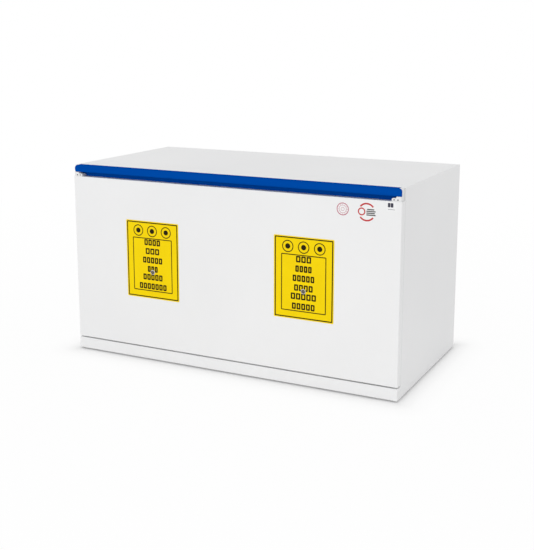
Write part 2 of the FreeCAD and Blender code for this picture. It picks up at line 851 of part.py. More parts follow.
# Sump trays: moulded liquid-tight trays that stand loose in the carriers
tray_clear = size("tray_clear", 1.5)
tray_wall = size("tray_wall", 4)
tray_height = size("tray_height", 62)
tray_rim = size("tray_rim", 7)
tray_rim_thick = size("tray_rim_thick", 4)
tray_corner = size("tray_corner", 22)
tray_step = size("tray_step", 8)
tray_step_height = size("tray_step_height", 34)
tray_low = carrier_floor + seat_gap
tray_top = tray_low + tray_height
tray_floor = tray_low + tray_wall
step_top = tray_floor + tray_step_height
rim_near = carrier_near + steel_sheet * 2 + tray_clear
rim_far = carrier_far - steel_sheet * 2 - tray_clear
rim_front = carrier_y + steel_sheet + tray_clear
rim_back = carrier_back - steel_sheet - tray_clear


def make_sump_tray(side, sign):
    body = new_body("sump_tray_" + side)
    low, high = across(sign, rim_near, rim_far)
    wall_low = (low + tray_rim, rim_front + tray_rim)
    wall_high = (high - tray_rim, rim_back - tray_rim)
    hollow_low = (wall_low[0] + tray_wall, wall_low[1] + tray_wall)
    hollow_high = (wall_high[0] - tray_wall, wall_high[1] - tray_wall)
    sump_low = (hollow_low[0] + tray_step, hollow_low[1] + tray_step)
    sump_high = (hollow_high[0] - tray_step, hollow_high[1] - tray_step)
    pad(body, "XY", tray_low, tray_top, rounded=[(wall_low, wall_high, tray_corner)])
    pad(body, "XY", tray_top - tray_rim_thick, tray_top,
        rounded=[((low, rim_front), (high, rim_back), tray_corner + tray_rim)])
    pocket(body, "XY", step_top, tray_top + overrun,
           rounded=[(hollow_low, hollow_high, tray_corner - tray_wall)])
    pocket(body, "XY", tray_floor, step_top,
           rounded=[(sump_low, sump_high, tray_corner - tray_wall - tray_step)])
    return keep(body, "sump_tray_" + side)


# Tray grids: flat perforated inserts that lie on the step inside the trays, with a lift slot at each side
grid_clear = size("grid_clear", 1)
grid_hole_radius = size("grid_hole_radius", 8)
grid_side_margin = size("grid_side_margin", 61.75)
grid_end_margin = size("grid_end_margin", 33)
grid_columns = size("grid_columns", 10)
grid_rows = size("grid_rows", 11)
lift_slot_width = size("lift_slot_width", 28)
lift_slot_length = size("lift_slot_length", 110)
lift_slot_inset = size("lift_slot_inset", 14)
lift_slot_corner = size("lift_slot_corner", 11)


def make_tray_grid(side, sign):
    body = new_body("tray_grid_" + side)
    near, far = across(sign, rim_near, rim_far)
    edge = tray_rim + tray_wall + grid_clear
    low = (near + edge, rim_front + edge)
    high = (far - edge, rim_back - edge)
    under = step_top + seat_gap
    top = under + steel_sheet
    pad(body, "XY", under, top, rounded=[(low, high, tray_corner - tray_wall - grid_clear)])
    middle_y = (low[1] + high[1]) / 2
    first = (low[0] + grid_side_margin, low[1] + grid_end_margin)
    pitch_x = (high[0] - grid_side_margin - first[0]) / (grid_columns - 1)
    pitch_y = (high[1] - grid_end_margin - first[1]) / (grid_rows - 1)
    slot_front = middle_y - lift_slot_length / 2
    slot_back = middle_y + lift_slot_length / 2
    slots = []
    for slot_x in (low[0] + lift_slot_inset, high[0] - lift_slot_inset - lift_slot_width):
        slots.append(((slot_x, slot_front), (slot_x + lift_slot_width, slot_back), lift_slot_corner))
    pocket(body, "XY", under - overrun, top + overrun, rounded=slots)
    hole = pocket(body, "XY", under - overrun, top + overrun, circles=[(first, grid_hole_radius)])
    repeat(body, hole, pitch_x, grid_columns, pitch_y, grid_rows)
    return keep(body, "tray_grid_" + side)


make_top_panel()
make_back_panel()
make_base_panel()
make_plinth_rail()
make_boards()
make_liner_back()
make_liner_floor()
make_front_seal()
make_back_screws()
make_foot_inserts()
for side, sign in SIDES:
    make_side_panel(side, sign)
    make_exhaust_spigot(side, sign)
    make_vent_cover(side, sign)
for place_name, side_sign, at_wall in RUNNERS:
    make_runners(place_name, side_sign, at_wall)
for name, sign, row in FEET:
    make_foot_stud(name, sign, row)
    make_foot_pad(name, sign, row)
make_front_skin()
make_front_board()
make_grip_rail()
make_grip_end_screws()
make_panel_screws()
for side, sign in SIDES:
    make_grip_end(side, sign)
    make_label_plate(side, sign)
    make_tray_carrier(side, sign)
    make_front_post(side, sign)
    make_sump_tray(side, sign)
    make_tray_grid(side, sign)
for name, sign, outer in GUSSETS:
    make_gusset(name, sign, outer)

doc.recompute()
for item in doc.Objects:
    if "Invalid" in item.State or "Error" in item.State:
        raise ValueError(item.Label + " failed")
for node in nodes:
    if node.Shape.isNull() or not node.Shape.isValid():
        raise ValueError(node.Label + " has no valid shape")

os.makedirs("parts", exist_ok=True)
for node in nodes:
    node.Shape.exportStep("parts/" + node.Label + ".step")
print(len(nodes), "sub-parts")
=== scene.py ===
import math

import bmesh
import bpy
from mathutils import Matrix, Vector


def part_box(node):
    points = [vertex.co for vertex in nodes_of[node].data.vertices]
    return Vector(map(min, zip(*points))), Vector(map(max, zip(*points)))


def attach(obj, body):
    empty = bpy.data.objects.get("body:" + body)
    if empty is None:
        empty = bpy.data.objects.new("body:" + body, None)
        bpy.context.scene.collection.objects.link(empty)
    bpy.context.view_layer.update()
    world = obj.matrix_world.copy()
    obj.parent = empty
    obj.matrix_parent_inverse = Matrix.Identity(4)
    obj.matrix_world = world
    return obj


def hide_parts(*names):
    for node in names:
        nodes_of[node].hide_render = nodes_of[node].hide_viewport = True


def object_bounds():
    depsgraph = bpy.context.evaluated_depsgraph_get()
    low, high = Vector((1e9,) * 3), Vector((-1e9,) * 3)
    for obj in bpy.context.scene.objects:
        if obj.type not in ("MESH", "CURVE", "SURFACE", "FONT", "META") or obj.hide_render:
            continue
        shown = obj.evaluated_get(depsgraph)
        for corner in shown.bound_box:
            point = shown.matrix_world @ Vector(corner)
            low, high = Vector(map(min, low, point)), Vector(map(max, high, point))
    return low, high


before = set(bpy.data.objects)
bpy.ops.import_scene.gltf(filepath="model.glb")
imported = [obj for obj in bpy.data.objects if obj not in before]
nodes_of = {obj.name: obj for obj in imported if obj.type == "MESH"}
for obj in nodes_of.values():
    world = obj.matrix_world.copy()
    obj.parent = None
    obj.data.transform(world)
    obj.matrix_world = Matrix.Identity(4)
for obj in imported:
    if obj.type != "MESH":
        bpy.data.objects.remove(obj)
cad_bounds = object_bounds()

SIDES = (("left", -1), ("right", 1))


# Casing sheets: top, sides, back, base and the pressed plinth rail, with the drawer's front skin.
# They are folded from steel sheet and powder coated in white, which leaves a fine orange peel.
# The sheets are screwed to the boards inside, and the front skin is clamped round its board.
white_coat_tone = (0.872, 0.874, 0.878)
white_coat_shade = (0.850, 0.852, 0.857)
orange_peel_grain = 420.0
orange_peel_depth = 0.00002
coat_cloud_grain = 2.2
coat_shine_grain = 9.0
# Where a finish drifts between its shade and its tone, from the pattern's low to its high value.
soft_drift = (0.35, 0.65)
wide_drift = (0.3, 0.7)


def new_finish(name, shine, metal=0.0):
    """A material with one shader; hands back the material, its tree and a mapping in object space."""
    finish = bpy.data.materials.new(name)
    finish.use_nodes = True
    tree = finish.node_tree
    shader = tree.nodes["Principled BSDF"]
    shader.inputs["Roughness"].default_value = shine
    shader.inputs["Metallic"].default_value = metal
    place = tree.nodes.new("ShaderNodeTexCoord")
    mapping = tree.nodes.new("ShaderNodeMapping")
    tree.links.new(place.outputs["Object"], mapping.inputs["Vector"])
    return finish, tree, shader, mapping


def node(tree, kind, links=(), **values):
    """Add a node, set the named inputs, and link (output socket, input name or number) pairs."""
    made = tree.nodes.new(kind)
    for key, value in values.items():
        made.inputs[key.replace("_", " ")].default_value = value
    for source, socket in links:
        tree.links.new(source, made.inputs[socket])
    return made


def noise(tree, mapping, scale, detail=3.0):
    """A cloudy pattern in object space."""
    pattern = node(tree, "ShaderNodeTexNoise", [(mapping.outputs["Vector"], "Vector")],
                   Scale=scale, Detail=detail)
    return pattern.outputs["Fac"]


def blend_tones(tree, shader, factor, shade, tone, drift=soft_drift):
    """Let the colour drift between a shade and a tone as the factor goes from low to high."""
    ramp = node(tree, "ShaderNodeValToRGB", [(factor, "Fac")])
    for stop, place, colour in zip(ramp.color_ramp.elements, drift, (shade, tone)):
        stop.position = place
        stop.color = (*colour, 1.0)
    tree.links.new(ramp.outputs["Color"], shader.inputs["Base Color"])


def vary_shine(tree, shader, factor, least, most):
    """Let the roughness follow the factor."""
    span = node(tree, "ShaderNodeMapRange", [(factor, "Value")], To_Min=least, To_Max=most)
    tree.links.new(span.outputs["Result"], shader.inputs["Roughness"])


def raise_grain(tree, shader, factor, depth, strength=0.6):
    """Let the surface rise with the factor."""
    bump = node(tree, "ShaderNodeBump", [(factor, "Height")], Strength=strength, Distance=depth)
    tree.links.new(bump.outputs["Normal"], shader.inputs["Normal"])


def powder_coat(name, tone, shade, least_shine=0.36, most_shine=0.46):
    """Powder coat: an even tone with the fine orange peel that the oven leaves."""
    finish, tree, shader, mapping = new_finish(name, most_shine)
    blend_tones(tree, shader, noise(tree, mapping, coat_cloud_grain), shade, tone)
    peel = noise(tree, mapping, orange_peel_grain, 1.0)
    vary_shine(tree, shader, noise(tree, mapping, coat_shine_grain), least_shine, most_shine)
    raise_grain(tree, shader, peel, orange_peel_depth)
    return finish


def coat(finish, *names):
    """Give CAD nodes a finish."""
    for name in names:
        for slot in nodes_of[name].material_slots:
            slot.material = finish


white_coat = powder_coat("white_powder_coat", white_coat_tone, white_coat_shade)
coat(white_coat, "top_panel", "side_panel_left", "side_panel_right", "back_panel", "base_panel",
     "plinth_rail", "front_skin")


# Boards: the casing's lining, the partition between the compartments and the drawer front's board.
# They are light grey mineral-filled boards with a matt melamine face, cut square.
# Screws hold them to the sheets, so only their faces and front edges show when the drawer is out.
board_tone = (0.800, 0.803, 0.795)
board_shade = (0.755, 0.757, 0.750)
board_fleck_grain = 900.0
board_fleck_depth = 0.00004
board_fleck_drift = (0.30, 0.55)
board_shine_grain = 6.0
board_least_shine = 0.48
board_most_shine = 0.62


def melamine_finish():
    """Melamine face: small flecks in a pale grey, matt all over."""
    finish, tree, shader, mapping = new_finish("melamine_board", board_most_shine)
    flecks = noise(tree, mapping, board_fleck_grain, 2.0)
    blend_tones(tree, shader, flecks, board_shade, board_tone, board_fleck_drift)
    vary_shine(tree, shader, noise(tree, mapping, board_shine_grain), board_least_shine, board_most_shine)
    raise_grain(tree, shader, flecks, board_fleck_depth)
    return finish


coat(melamine_finish(), "liner_top", "liner_left", "liner_right", "liner_back", "liner_floor",
     "partition_board", "front_board")


# Front seal: a pale closed-cell foam strip, stuck on the casing's front edges round both compartments.
# The drawer front presses on it when shut.
foam_tone = (0.700, 0.700, 0.695)
# The darker foam tone is painted shade for the sunk middles of the cells.
foam_hollow_painted_shade = (0.560, 0.560, 0.555)
foam_shine = 0.9
foam_cell_grain = 1400.0
foam_cell_depth = 0.0003
foam_hollow_shade_drift = (0.1, 0.6)
foam_cell_strength = 0.8


def foam_finish():
    """Closed-cell foam: small round cells, with painted shade where they sink."""
    finish, tree, shader, mapping = new_finish("seal_foam", foam_shine)
    cells = node(tree, "ShaderNodeTexVoronoi", [(mapping.outputs["Vector"], "Vector")],
                 Scale=foam_cell_grain)
    # Painted shade: the colour darkens towards each cell's sunk middle, where the bump sinks too.
    blend_tones(tree, shader, cells.outputs["Distance"], foam_hollow_painted_shade, foam_tone, foam_hollow_shade_drift)
    raise_grain(tree, shader, cells.outputs["Distance"], foam_cell_depth, foam_cell_strength)
    return finish


coat(foam_finish(), "front_seal")


# Screws of the casing: zinc-plated heads that hold the back panel to the board before it.
# Each head has a cross recess and stops at its own angle.
# The heads are instances on points, turned by chance from a fixed seed.
zinc_tone = (0.690, 0.695, 0.705)
zinc_shade = (0.560, 0.570, 0.590)
usual_head_radius = 0.004
usual_head_height = 0.002
head_sides = 20
recess_share = 0.55
recess_arm_share = 0.24
recess_depth_share = 0.45
shoulder_share = 0.74
zinc_line_grain = 1800.0
zinc_line_depth = 0.00001
zinc_cloud_grain = 26.0
zinc_least_shine = 0.26
zinc_most_shine = 0.44
brushed_stretch = (1.0, 1.0, 0.04)
# The cross is cut into a head made this many times larger, so that small heads are cut cleanly too.
cutting_scale = 100.0


def zinc_finish(name="zinc_steel", stretch=brushed_stretch, tone=zinc_tone, shade=zinc_shade):
    """Bright zinc plate: brushed lines along one way, with cloudy patches of passivation."""
    finish, tree, shader, mapping = new_finish(name, zinc_most_shine, metal=1.0)
    mapping.inputs["Scale"].default_value = stretch
    lines = noise(tree, mapping, zinc_line_grain, 2.0)
    blend_tones(tree, shader, noise(tree, mapping, zinc_cloud_grain), shade, tone, wide_drift)
    vary_shine(tree, shader, lines, zinc_least_shine, zinc_most_shine)
    raise_grain(tree, shader, lines, zinc_line_depth, 0.5)
    return finish


zinc = zinc_finish()


def tree_input(tree, name, kind, value=None):
    """Add a named input to a tree and hand back its identifier."""
    socket = tree.interface.new_socket(name=name, in_out="INPUT", socket_type=kind)
    if value is not None:
        socket.default_value = value
    return socket.identifier


def new_tree(name):
    """A geometry tree with one geometry input and one output."""
    tree = bpy.data.node_groups.new(name, "GeometryNodeTree")
    tree.interface.new_socket(name="Geometry", in_out="INPUT", socket_type="NodeSocketGeometry")
    tree.interface.new_socket(name="Geometry", in_out="OUTPUT", socket_type="NodeSocketGeometry")
    return tree


def feed(tree, made, terms):
    """Give a node's inputs their terms, each an output socket or a number."""
    for socket, term in zip(made.inputs, terms):
        if isinstance(term, (int, float)):
            socket.default_value = term
        else:
            tree.links.new(term, socket)
    return made.outputs[0]


def reckon(tree, operation, left, right):
    """The result of one operation on two terms."""
    made = tree.nodes.new("ShaderNodeMath")
    made.operation = operation
    return feed(tree, made, (left, right))


def times(tree, left, right):
    return reckon(tree, "MULTIPLY", left, right)


def vector(tree, x, y, z):
    return feed(tree, tree.nodes.new("ShaderNodeCombineXYZ"), (x, y, z))


def close_tree(tree, geometry, finish_socket):
    """End a tree: real geometry with its finish on it."""
    real = node(tree, "GeometryNodeRealizeInstances", [(geometry, "Geometry")])
    painted = node(tree, "GeometryNodeSetMaterial", [(real.outputs["Geometry"], "Geometry"),
                                                     (finish_socket, "Material")])
    node(tree, "NodeGroupOutput", [(painted.outputs["Geometry"], "Geometry")])


def screw_head_tree():
    """Screw heads on points: a low cone with a cross cut into its top."""
    tree = new_tree("screw_heads")
    sockets = {"radius": tree_input(tree, "Head radius", "NodeSocketFloat", usual_head_radius),
               "height": tree_input(tree, "Head height", "NodeSocketFloat", usual_head_height),
               "outward": tree_input(tree, "Outward", "NodeSocketVector", (0.0, 0.0, 1.0)),
               "seed": tree_input(tree, "Seed", "NodeSocketInt", 1),
               "finish": tree_input(tree, "Finish", "NodeSocketMaterial")}
    given = tree.nodes.new("NodeGroupInput").outputs
    radius = times(tree, given["Head radius"], cutting_scale)
    height = times(tree, given["Head height"], cutting_scale)
    head = node(tree, "GeometryNodeMeshCone",
                [(times(tree, radius, shoulder_share), "Radius Top"), (radius, "Radius Bottom"),
                 (height, "Depth")], Vertices=head_sides)
    reach = times(tree, radius, recess_share * 2)
    arm = times(tree, radius, recess_arm_share)
    cut = times(tree, height, recess_depth_share * 2)
    bars = []
    for x, y in ((reach, arm), (arm, reach)):
        bar = node(tree, "GeometryNodeMeshCube", [(vector(tree, x, y, cut), "Size")])
        raised = node(tree, "GeometryNodeTransform", [(bar.outputs["Mesh"], "Geometry"),
                                                      (vector(tree, 0.0, 0.0, height), "Translation")])
        bars.append((raised.outputs["Geometry"], "Geometry"))
    cross = node(tree, "GeometryNodeJoinGeometry", bars)
    recess = node(tree, "GeometryNodeMeshBoolean", [(head.outputs["Mesh"], "Mesh 1"),
                                                    (cross.outputs["Geometry"], "Mesh 2")])
    recess.operation = "DIFFERENCE"
    facing = node(tree, "FunctionNodeAlignRotationToVector", [(given["Outward"], "Vector")])
    facing.axis = "Z"
    spots = node(tree, "GeometryNodeInstanceOnPoints",
                 [(given["Geometry"], "Points"), (recess.outputs["Mesh"], "Instance"),
                  (facing.outputs["Rotation"], "Rotation")], Scale=(1 / cutting_scale,) * 3)
    chance = tree.nodes.new("FunctionNodeRandomValue")
    chance.data_type = "FLOAT"
    chance.inputs[3].default_value = math.tau
    tree.links.new(given["Seed"], chance.inputs["Seed"])
    turned_heads = node(tree, "GeometryNodeRotateInstances",
                        [(spots.outputs["Instances"], "Instances"),
                         (vector(tree, 0.0, 0.0, chance.outputs[1]), "Rotation")])
    close_tree(tree, turned_heads.outputs["Instances"], given["Finish"])
    return tree, sockets


screw_tree, screw_sockets = screw_head_tree()


def hand_over(item, body, stands_for):
    """Put a piece on its body, and let it take the place of CAD nodes."""
    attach(item, body)
    if stands_for:
        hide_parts(*stands_for)


def grow(name, points, tree, sockets, values, body, stands_for=()):
    """Run a node tree on points, keep its result as a plain mesh, and hand it to its body."""
    seeds = bpy.data.meshes.new(name)
    seeds.from_pydata([tuple(point) for point in points], [], [])
    item = bpy.data.objects.new(name, seeds)
    bpy.context.collection.objects.link(item)
    grower = item.modifiers.new("grow", "NODES")
    grower.node_group = tree
    for key, value in values.items():
        grower[sockets[key]] = value
    evaluated = item.evaluated_get(bpy.context.evaluated_depsgraph_get())
    plain = bpy.data.meshes.new_from_object(evaluated)
    item.modifiers.clear()
    plain.materials.clear()
    plain.materials.append(values["finish"])
    plain.polygons.foreach_set("material_index", [0] * len(plain.polygons))
    item.data = plain
    plain.name = name
    hand_over(item, body, stands_for)


def screws(name, points, outward, radius, height, body, seed, stands_for=(), finish=zinc):
    """Screw heads on points, all facing one way."""
    values = {"radius": radius, "height": height, "outward": outward, "seed": seed, "finish": finish}
    grow(name, points, screw_tree, screw_sockets, values, body, stands_for)


def corners_of(node_name):
    """The lowest and the highest corner of a CAD node's box."""
    low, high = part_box(node_name)
    return Vector(low), Vector(high)


back_low, back_high = corners_of("back_panel")
screw_low, screw_high = corners_of("back_screws")
back_head_radius = 0.0045
back_head_height = 0.0024
back_columns = 5
left_column = screw_low.x + back_head_radius
right_column = screw_high.x - back_head_radius
low_row = screw_low.z + back_head_radius
high_row = screw_high.z - back_head_radius
back_face = back_high.y
back_spots = []
for step in range(back_columns):
    column = left_column + (right_column - left_column) * step / (back_columns - 1)
    back_spots += [(column, back_face, low_row), (column, back_face, high_row)]
for column in (left_column, right_column):
    back_spots.append((column, back_face, (low_row + high_row) / 2))
screws("back_screw_heads", back_spots, (0.0, 1.0, 0.0), back_head_radius, back_head_height,
       "casing", seed=3, stands_for=("back_screws",))


# Exhaust spigots: two moulded grey tubes through the back, one for each compartment.
# Each has a flange with four screws and a bead near its mouth that keeps a duct from slipping off.
plastic_tone = (0.640, 0.650, 0.660)
plastic_shade = (0.600, 0.610, 0.620)
flow_grain = 14.0
spark_grain = 1500.0
spark_depth = 0.00003
spigot_steps = 96
spigot_bore = 0.035
spigot_outer = 0.0375
spigot_clear = 0.0003
spigot_bead = 0.0006
bead_inset = 0.007
bead_half_width = 0.003
bead_crown = 0.001
mouth_edge = 0.0006
mouth_round = 0.001
flange_radius = 0.055
flange_thick = 0.003
flange_edge = 0.001
flange_fillet_out = 0.0012
flange_fillet_up = 0.0018
flange_screw_circle = 0.0465
flange_screw_radius = 0.0036
flange_screw_head = 0.0018
boss_outline = [(0.0, 0.0), (0.0050, 0.0), (0.0046, 0.0006), (0.0, 0.0006)]
boss_steps = 24
flange_screw_count = 4
# Points nearer to each other than this are one point.
same_place = 1e-7


def moulded_finish(name, tone, shade, least_shine=0.42, most_shine=0.55, gloss=0.5):
    """Moulded plastic: an even tone with a faint flow pattern and a fine spark-eroded texture."""
    finish, tree, shader, mapping = new_finish(name, most_shine)
    shader.inputs["Specular IOR Level"].default_value = gloss
    blend_tones(tree, shader, noise(tree, mapping, flow_grain), shade, tone, wide_drift)
    grain = noise(tree, mapping, spark_grain, 2.0)
    vary_shine(tree, shader, grain, least_shine, most_shine)
    raise_grain(tree, shader, grain, spark_depth, 0.5)
    return finish


grey_plastic = moulded_finish("grey_plastic", plastic_tone, plastic_shade)


def join_rings(shell, near, far):
    """Faces between two rings of points, triangles where one ring is a single point."""
    made = []
    for step in range(len(near)):
        after = (step + 1) % len(near)
        corners = list(dict.fromkeys([near[step], near[after], far[after], far[step]]))
        if len(corners) > 2:
            made.append(shell.faces.new(corners))
    return made


def turned(shell, centre, axis, outline, steps=48, closed=False):
    """Turn an outline of (radius, distance along the axis) about the axis through the centre."""
    axis = Vector(axis).normalized()
    across = axis.orthogonal().normalized()
    over = axis.cross(across)
    rings = []
    for radius, along in outline:
        middle = Vector(centre) + axis * along
        if radius < same_place:
            rings.append([shell.verts.new(middle)] * steps)
            continue
        ring = []
        for step in range(steps):
            angle = math.tau * step / steps
            spoke = across * math.cos(angle) + over * math.sin(angle)
            ring.append(shell.verts.new(middle + spoke * radius))
        rings.append(ring)
    pairs = list(zip(rings, rings[1:]))
    if closed:
        pairs.append((rings[-1], rings[0]))
    for near, far in pairs:
        join_rings(shell, near, far)


def finish_piece(name, shell, finish, body, stands_for=(), smooth_angle=38.0):
    """Close up a shell, shade its soft edges smooth and hand it to its body."""
    bmesh.ops.remove_doubles(shell, verts=shell.verts, dist=same_place)
    bmesh.ops.recalc_face_normals(shell, faces=shell.faces)
    mesh = bpy.data.meshes.new(name)
    shell.to_mesh(mesh)
    shell.free()
    mesh.shade_smooth()
    mesh.set_sharp_from_angle(angle=math.radians(smooth_angle))
    mesh.materials.append(finish)
    item = bpy.data.objects.new(name, mesh)
    bpy.context.collection.objects.link(item)
    hand_over(item, body, stands_for)


def arc(centre_u, centre_v, radius, start, end, steps=6):
    """Points on an arc, in degrees, from start to end."""
    points = []
    for step in range(steps + 1):
        angle = math.radians(start + (end - start) * step / steps)
        points.append((centre_u + radius * math.cos(angle), centre_v + radius * math.sin(angle)))
    return points


for side, sign in SIDES:
    node_name = "exhaust_spigot_" + side
    low, high = corners_of(node_name)
    middle_x = (low.x + high.x) / 2
    middle_z = (low.z + high.z) / 2
    start = low.y
    mouth = high.y
    bead_at = mouth - bead_inset
    tube = spigot_outer - spigot_bead
    flange_face = back_face + flange_thick
    outline = [(spigot_bore, start), (spigot_outer - spigot_clear, start),
               (spigot_outer - spigot_clear, back_face), (flange_radius - flange_edge, back_face),
               (flange_radius, back_face + flange_edge), (flange_radius, flange_face - flange_edge),
               (flange_radius - flange_edge, flange_face), (spigot_outer + flange_fillet_out, flange_face),
               (tube, flange_face + flange_fillet_up), (tube, bead_at - bead_half_width),
               (spigot_outer, bead_at - bead_crown), (spigot_outer, bead_at + bead_crown),
               (tube, bead_at + bead_half_width), (tube, mouth - mouth_edge * 2),
               (tube - mouth_round, mouth), (spigot_bore + mouth_edge, mouth),
               (spigot_bore, mouth - mouth_edge)]
    shell = bmesh.new()
    turned(shell, (middle_x, 0.0, middle_z), (0, 1, 0), outline, spigot_steps, closed=True)
    heads = []
    for turn in range(flange_screw_count):
        angle = math.pi / 4 + math.tau / flange_screw_count * turn
        boss_x = middle_x + flange_screw_circle * math.cos(angle)
        boss_z = middle_z + flange_screw_circle * math.sin(angle)
        turned(shell, (boss_x, flange_face, boss_z), (0, 1, 0), boss_outline, boss_steps)
        heads.append((boss_x, flange_face + boss_outline[-1][1], boss_z))
    finish_piece("spigot_tube_" + side, shell, grey_plastic, "casing", (node_name,))
    screws("spigot_screws_" + side, heads, (0, 1, 0), flange_screw_radius, flange_screw_head,
           "casing", seed=11 + sign)


# Vent covers: flat slotted plates inside, over the mouths of the spigots.
# They are punched from steel sheet and coated in the same light grey as the drawer's frame.
inner_coat_tone = (0.760, 0.772, 0.782)
inner_coat_shade = (0.725, 0.737, 0.748)
inner_coat_shine = (0.42, 0.54)
inner_coat = powder_coat("inner_powder_coat", inner_coat_tone, inner_coat_shade, *inner_coat_shine)
cover_screw_inset = 0.009
cover_screw_radius = 0.0038
cover_screw_head = 0.0016
for side, sign in SIDES:
    node_name = "vent_cover_" + side
    coat(inner_coat, node_name)
    low, high = corners_of(node_name)
    heads = []
    for x in (low.x + cover_screw_inset, high.x - cover_screw_inset):
        for z in (low.z + cover_screw_inset, high.z - cover_screw_inset):
            heads.append((x, low.y, z))
    screws("cover_screws_" + side, heads, (0, -1, 0), cover_screw_radius, cover_screw_head,
           "casing", seed=21 + sign)


# Earth stud: a zinc-plated stud with two washers and a nut, low on the back panel.
# The cabinet's sheets are earthed through it, so that the drawer can't hold a charge.
earth_inset = 0.075
earth_rise = 0.062
earth_at = (back_high.x - earth_inset, back_face, back_low.z + earth_rise)
wide_washer = [(0.0, 0.0), (0.009, 0.0), (0.009, 0.0014), (0.0, 0.0014)]
small_washer = [(0.0, 0.0014), (0.007, 0.0014), (0.007, 0.0026), (0.0, 0.0026)]
earth_nut = [(0.0, 0.0026), (0.0058, 0.0026), (0.0062, 0.0034), (0.0062, 0.0068),
             (0.0056, 0.0074), (0.0, 0.0074)]
earth_threads = 7
earth_pitch = 0.001
earth_root = 0.0026
earth_crest = 0.0030
thread_start = 0.0074
thread_end = 0.0144
earth_tip = 0.0152
earth_tip_radius = 0.0018
washer_steps = 40
earth_stud_steps = 24
hexagon_sides = 6
stud_line = [(0.0, thread_start)]
for thread in range(earth_threads):
    turn_at = thread_start + thread * earth_pitch
    stud_line += [(earth_root, turn_at), (earth_crest, turn_at + earth_pitch / 2)]
stud_line += [(earth_root, thread_end), (earth_tip_radius, earth_tip), (0.0, earth_tip)]
shell = bmesh.new()
for outline, steps in ((wide_washer, washer_steps), (small_washer, washer_steps),
                       (earth_nut, hexagon_sides), (stud_line, earth_stud_steps)):
    turned(shell, earth_at, (0, 1, 0), outline, steps)
finish_piece("earth_stud", shell, zinc, "casing")


# Levelling feet: a black moulded pad with a ribbed rim, and a zinc-plated stud that screws into
# an insert in the floor board. A thread runs up the stud and a hexagon collar takes the spanner.
foot_tone = (0.045, 0.045, 0.048)
foot_shade = (0.030, 0.030, 0.033)
foot_black = moulded_finish("foot_plastic", foot_tone, foot_shade)
coat(zinc, "foot_inserts")
pad_clear = 0.0006
pad_foot_edge = 0.0006
pad_edge = 0.0005
pad_shoulder = 0.0008
pad_top_edge = 0.0004
pad_top_share = 0.68
pad_top_edge_share = 0.72
rim_ribs = 36
rib_radius = 0.0009
rib_sink = 0.0004
rib_foot = 0.0008
hexagon_gap = 0.0001
hexagon_height = 0.005
hexagon_radius = 0.0085
hexagon_edge = 0.0007
stud_radius = 0.005
stud_tip_radius = 0.0036
thread_pitch = 0.0015
thread_depth = 0.0005
# The last turn of the thread starts more than this many pitches below the stud's top.
thread_stop = 1.2
pad_steps = 72
pad_rib_steps = 8
foot_stud_steps = 32
for foot in ("front_left", "front_right", "back_left", "back_right"):
    body = "foot_" + foot
    low, high = corners_of("foot_pad_" + foot)
    middle = ((low.x + high.x) / 2, (low.y + high.y) / 2, 0.0)
    pad_radius = (high.x - low.x) / 2
    pad_top = high.z
    stud_top = corners_of("foot_stud_" + foot)[1].z
    rim = pad_radius - pad_clear
    shoulder = pad_top / 2
    pad_outline = [(0.0, 0.0), (rim - pad_edge, 0.0), (rim, pad_foot_edge), (rim, shoulder),
                   (rim - pad_shoulder, shoulder + pad_shoulder),
                   (pad_radius * pad_top_edge_share, pad_top - pad_top_edge),
                   (pad_radius * pad_top_share, pad_top), (0.0, pad_top)]
    rib_outline = [(0.0, rib_foot), (rib_radius, rib_foot), (rib_radius, shoulder - rib_sink),
                   (0.0, shoulder)]
    shell = bmesh.new()
    turned(shell, middle, (0, 0, 1), pad_outline, pad_steps)
    for rib in range(rim_ribs):
        angle = math.tau * rib / rim_ribs
        spot = (middle[0] + (rim - rib_sink) * math.cos(angle),
                middle[1] + (rim - rib_sink) * math.sin(angle), 0.0)
        turned(shell, spot, (0, 0, 1), rib_outline, pad_rib_steps)
    finish_piece("pad_" + foot, shell, foot_black, body, ("foot_pad_" + foot,))
    hexagon_foot = pad_top + hexagon_gap
    hexagon_top = hexagon_foot + hexagon_height
    hexagon_outline = [(0.0, hexagon_foot), (hexagon_radius - hexagon_edge, hexagon_foot),
                       (hexagon_radius, hexagon_foot + hexagon_edge),
                       (hexagon_radius, hexagon_top - hexagon_edge),
                       (hexagon_radius - hexagon_edge, hexagon_top), (0.0, hexagon_top)]
    stud_line = [(0.0, hexagon_top)]
    height = hexagon_top
    while height < stud_top - thread_pitch * thread_stop:
        stud_line += [(stud_radius - thread_depth, height), (stud_radius, height + thread_pitch / 2)]
        height += thread_pitch
    stud_line += [(stud_radius - thread_depth, height), (stud_tip_radius, stud_top), (0.0, stud_top)]
    shell = bmesh.new()
    turned(shell, middle, (0, 0, 1), hexagon_outline, hexagon_sides)
    turned(shell, middle, (0, 0, 1), stud_line, foot_stud_steps)
    finish_piece("stud_" + foot, shell, zinc, body, ("foot_stud_" + foot,))


# Runners: four telescopic slides, each of three nested channels rolled from zinc-plated strip.
# The fixed ones are screwed to the boards, and the inner ones to the tray carriers.
strip_stretch = (1.0, 0.02, 1.0)
strip_zinc = zinc_finish("zinc_strip", strip_stretch)
runner_places = ("left_wall", "left_middle", "right_middle", "right_wall")
bumper_length = 0.010
bumper_rise = 0.003
bumper_clear = 0.0002
bumper_wall_gap = 0.0017
bumper_round = 0.0015
bumper_edge = 0.0004
rubber_tone = (0.05, 0.05, 0.052)
rubber_shade = (0.035, 0.035, 0.037)
rubber_shine = (0.6, 0.75)
rubber_black = moulded_finish("bumper_rubber", rubber_tone, rubber_shade, *rubber_shine)


def rounded_outline(low, high, radius, steps):
    """A rectangle with round corners, as points that run anticlockwise."""
    u0, v0 = low
    u1, v1 = high
    outline = arc(u0 + radius, v0 + radius, radius, 180, 270, steps)
    outline += arc(u1 - radius, v0 + radius, radius, 270, 360, steps)
    outline += arc(u1 - radius, v1 - radius, radius, 0, 90, steps)
    outline += arc(u0 + radius, v1 - radius, radius, 90, 180, steps)
    return outline


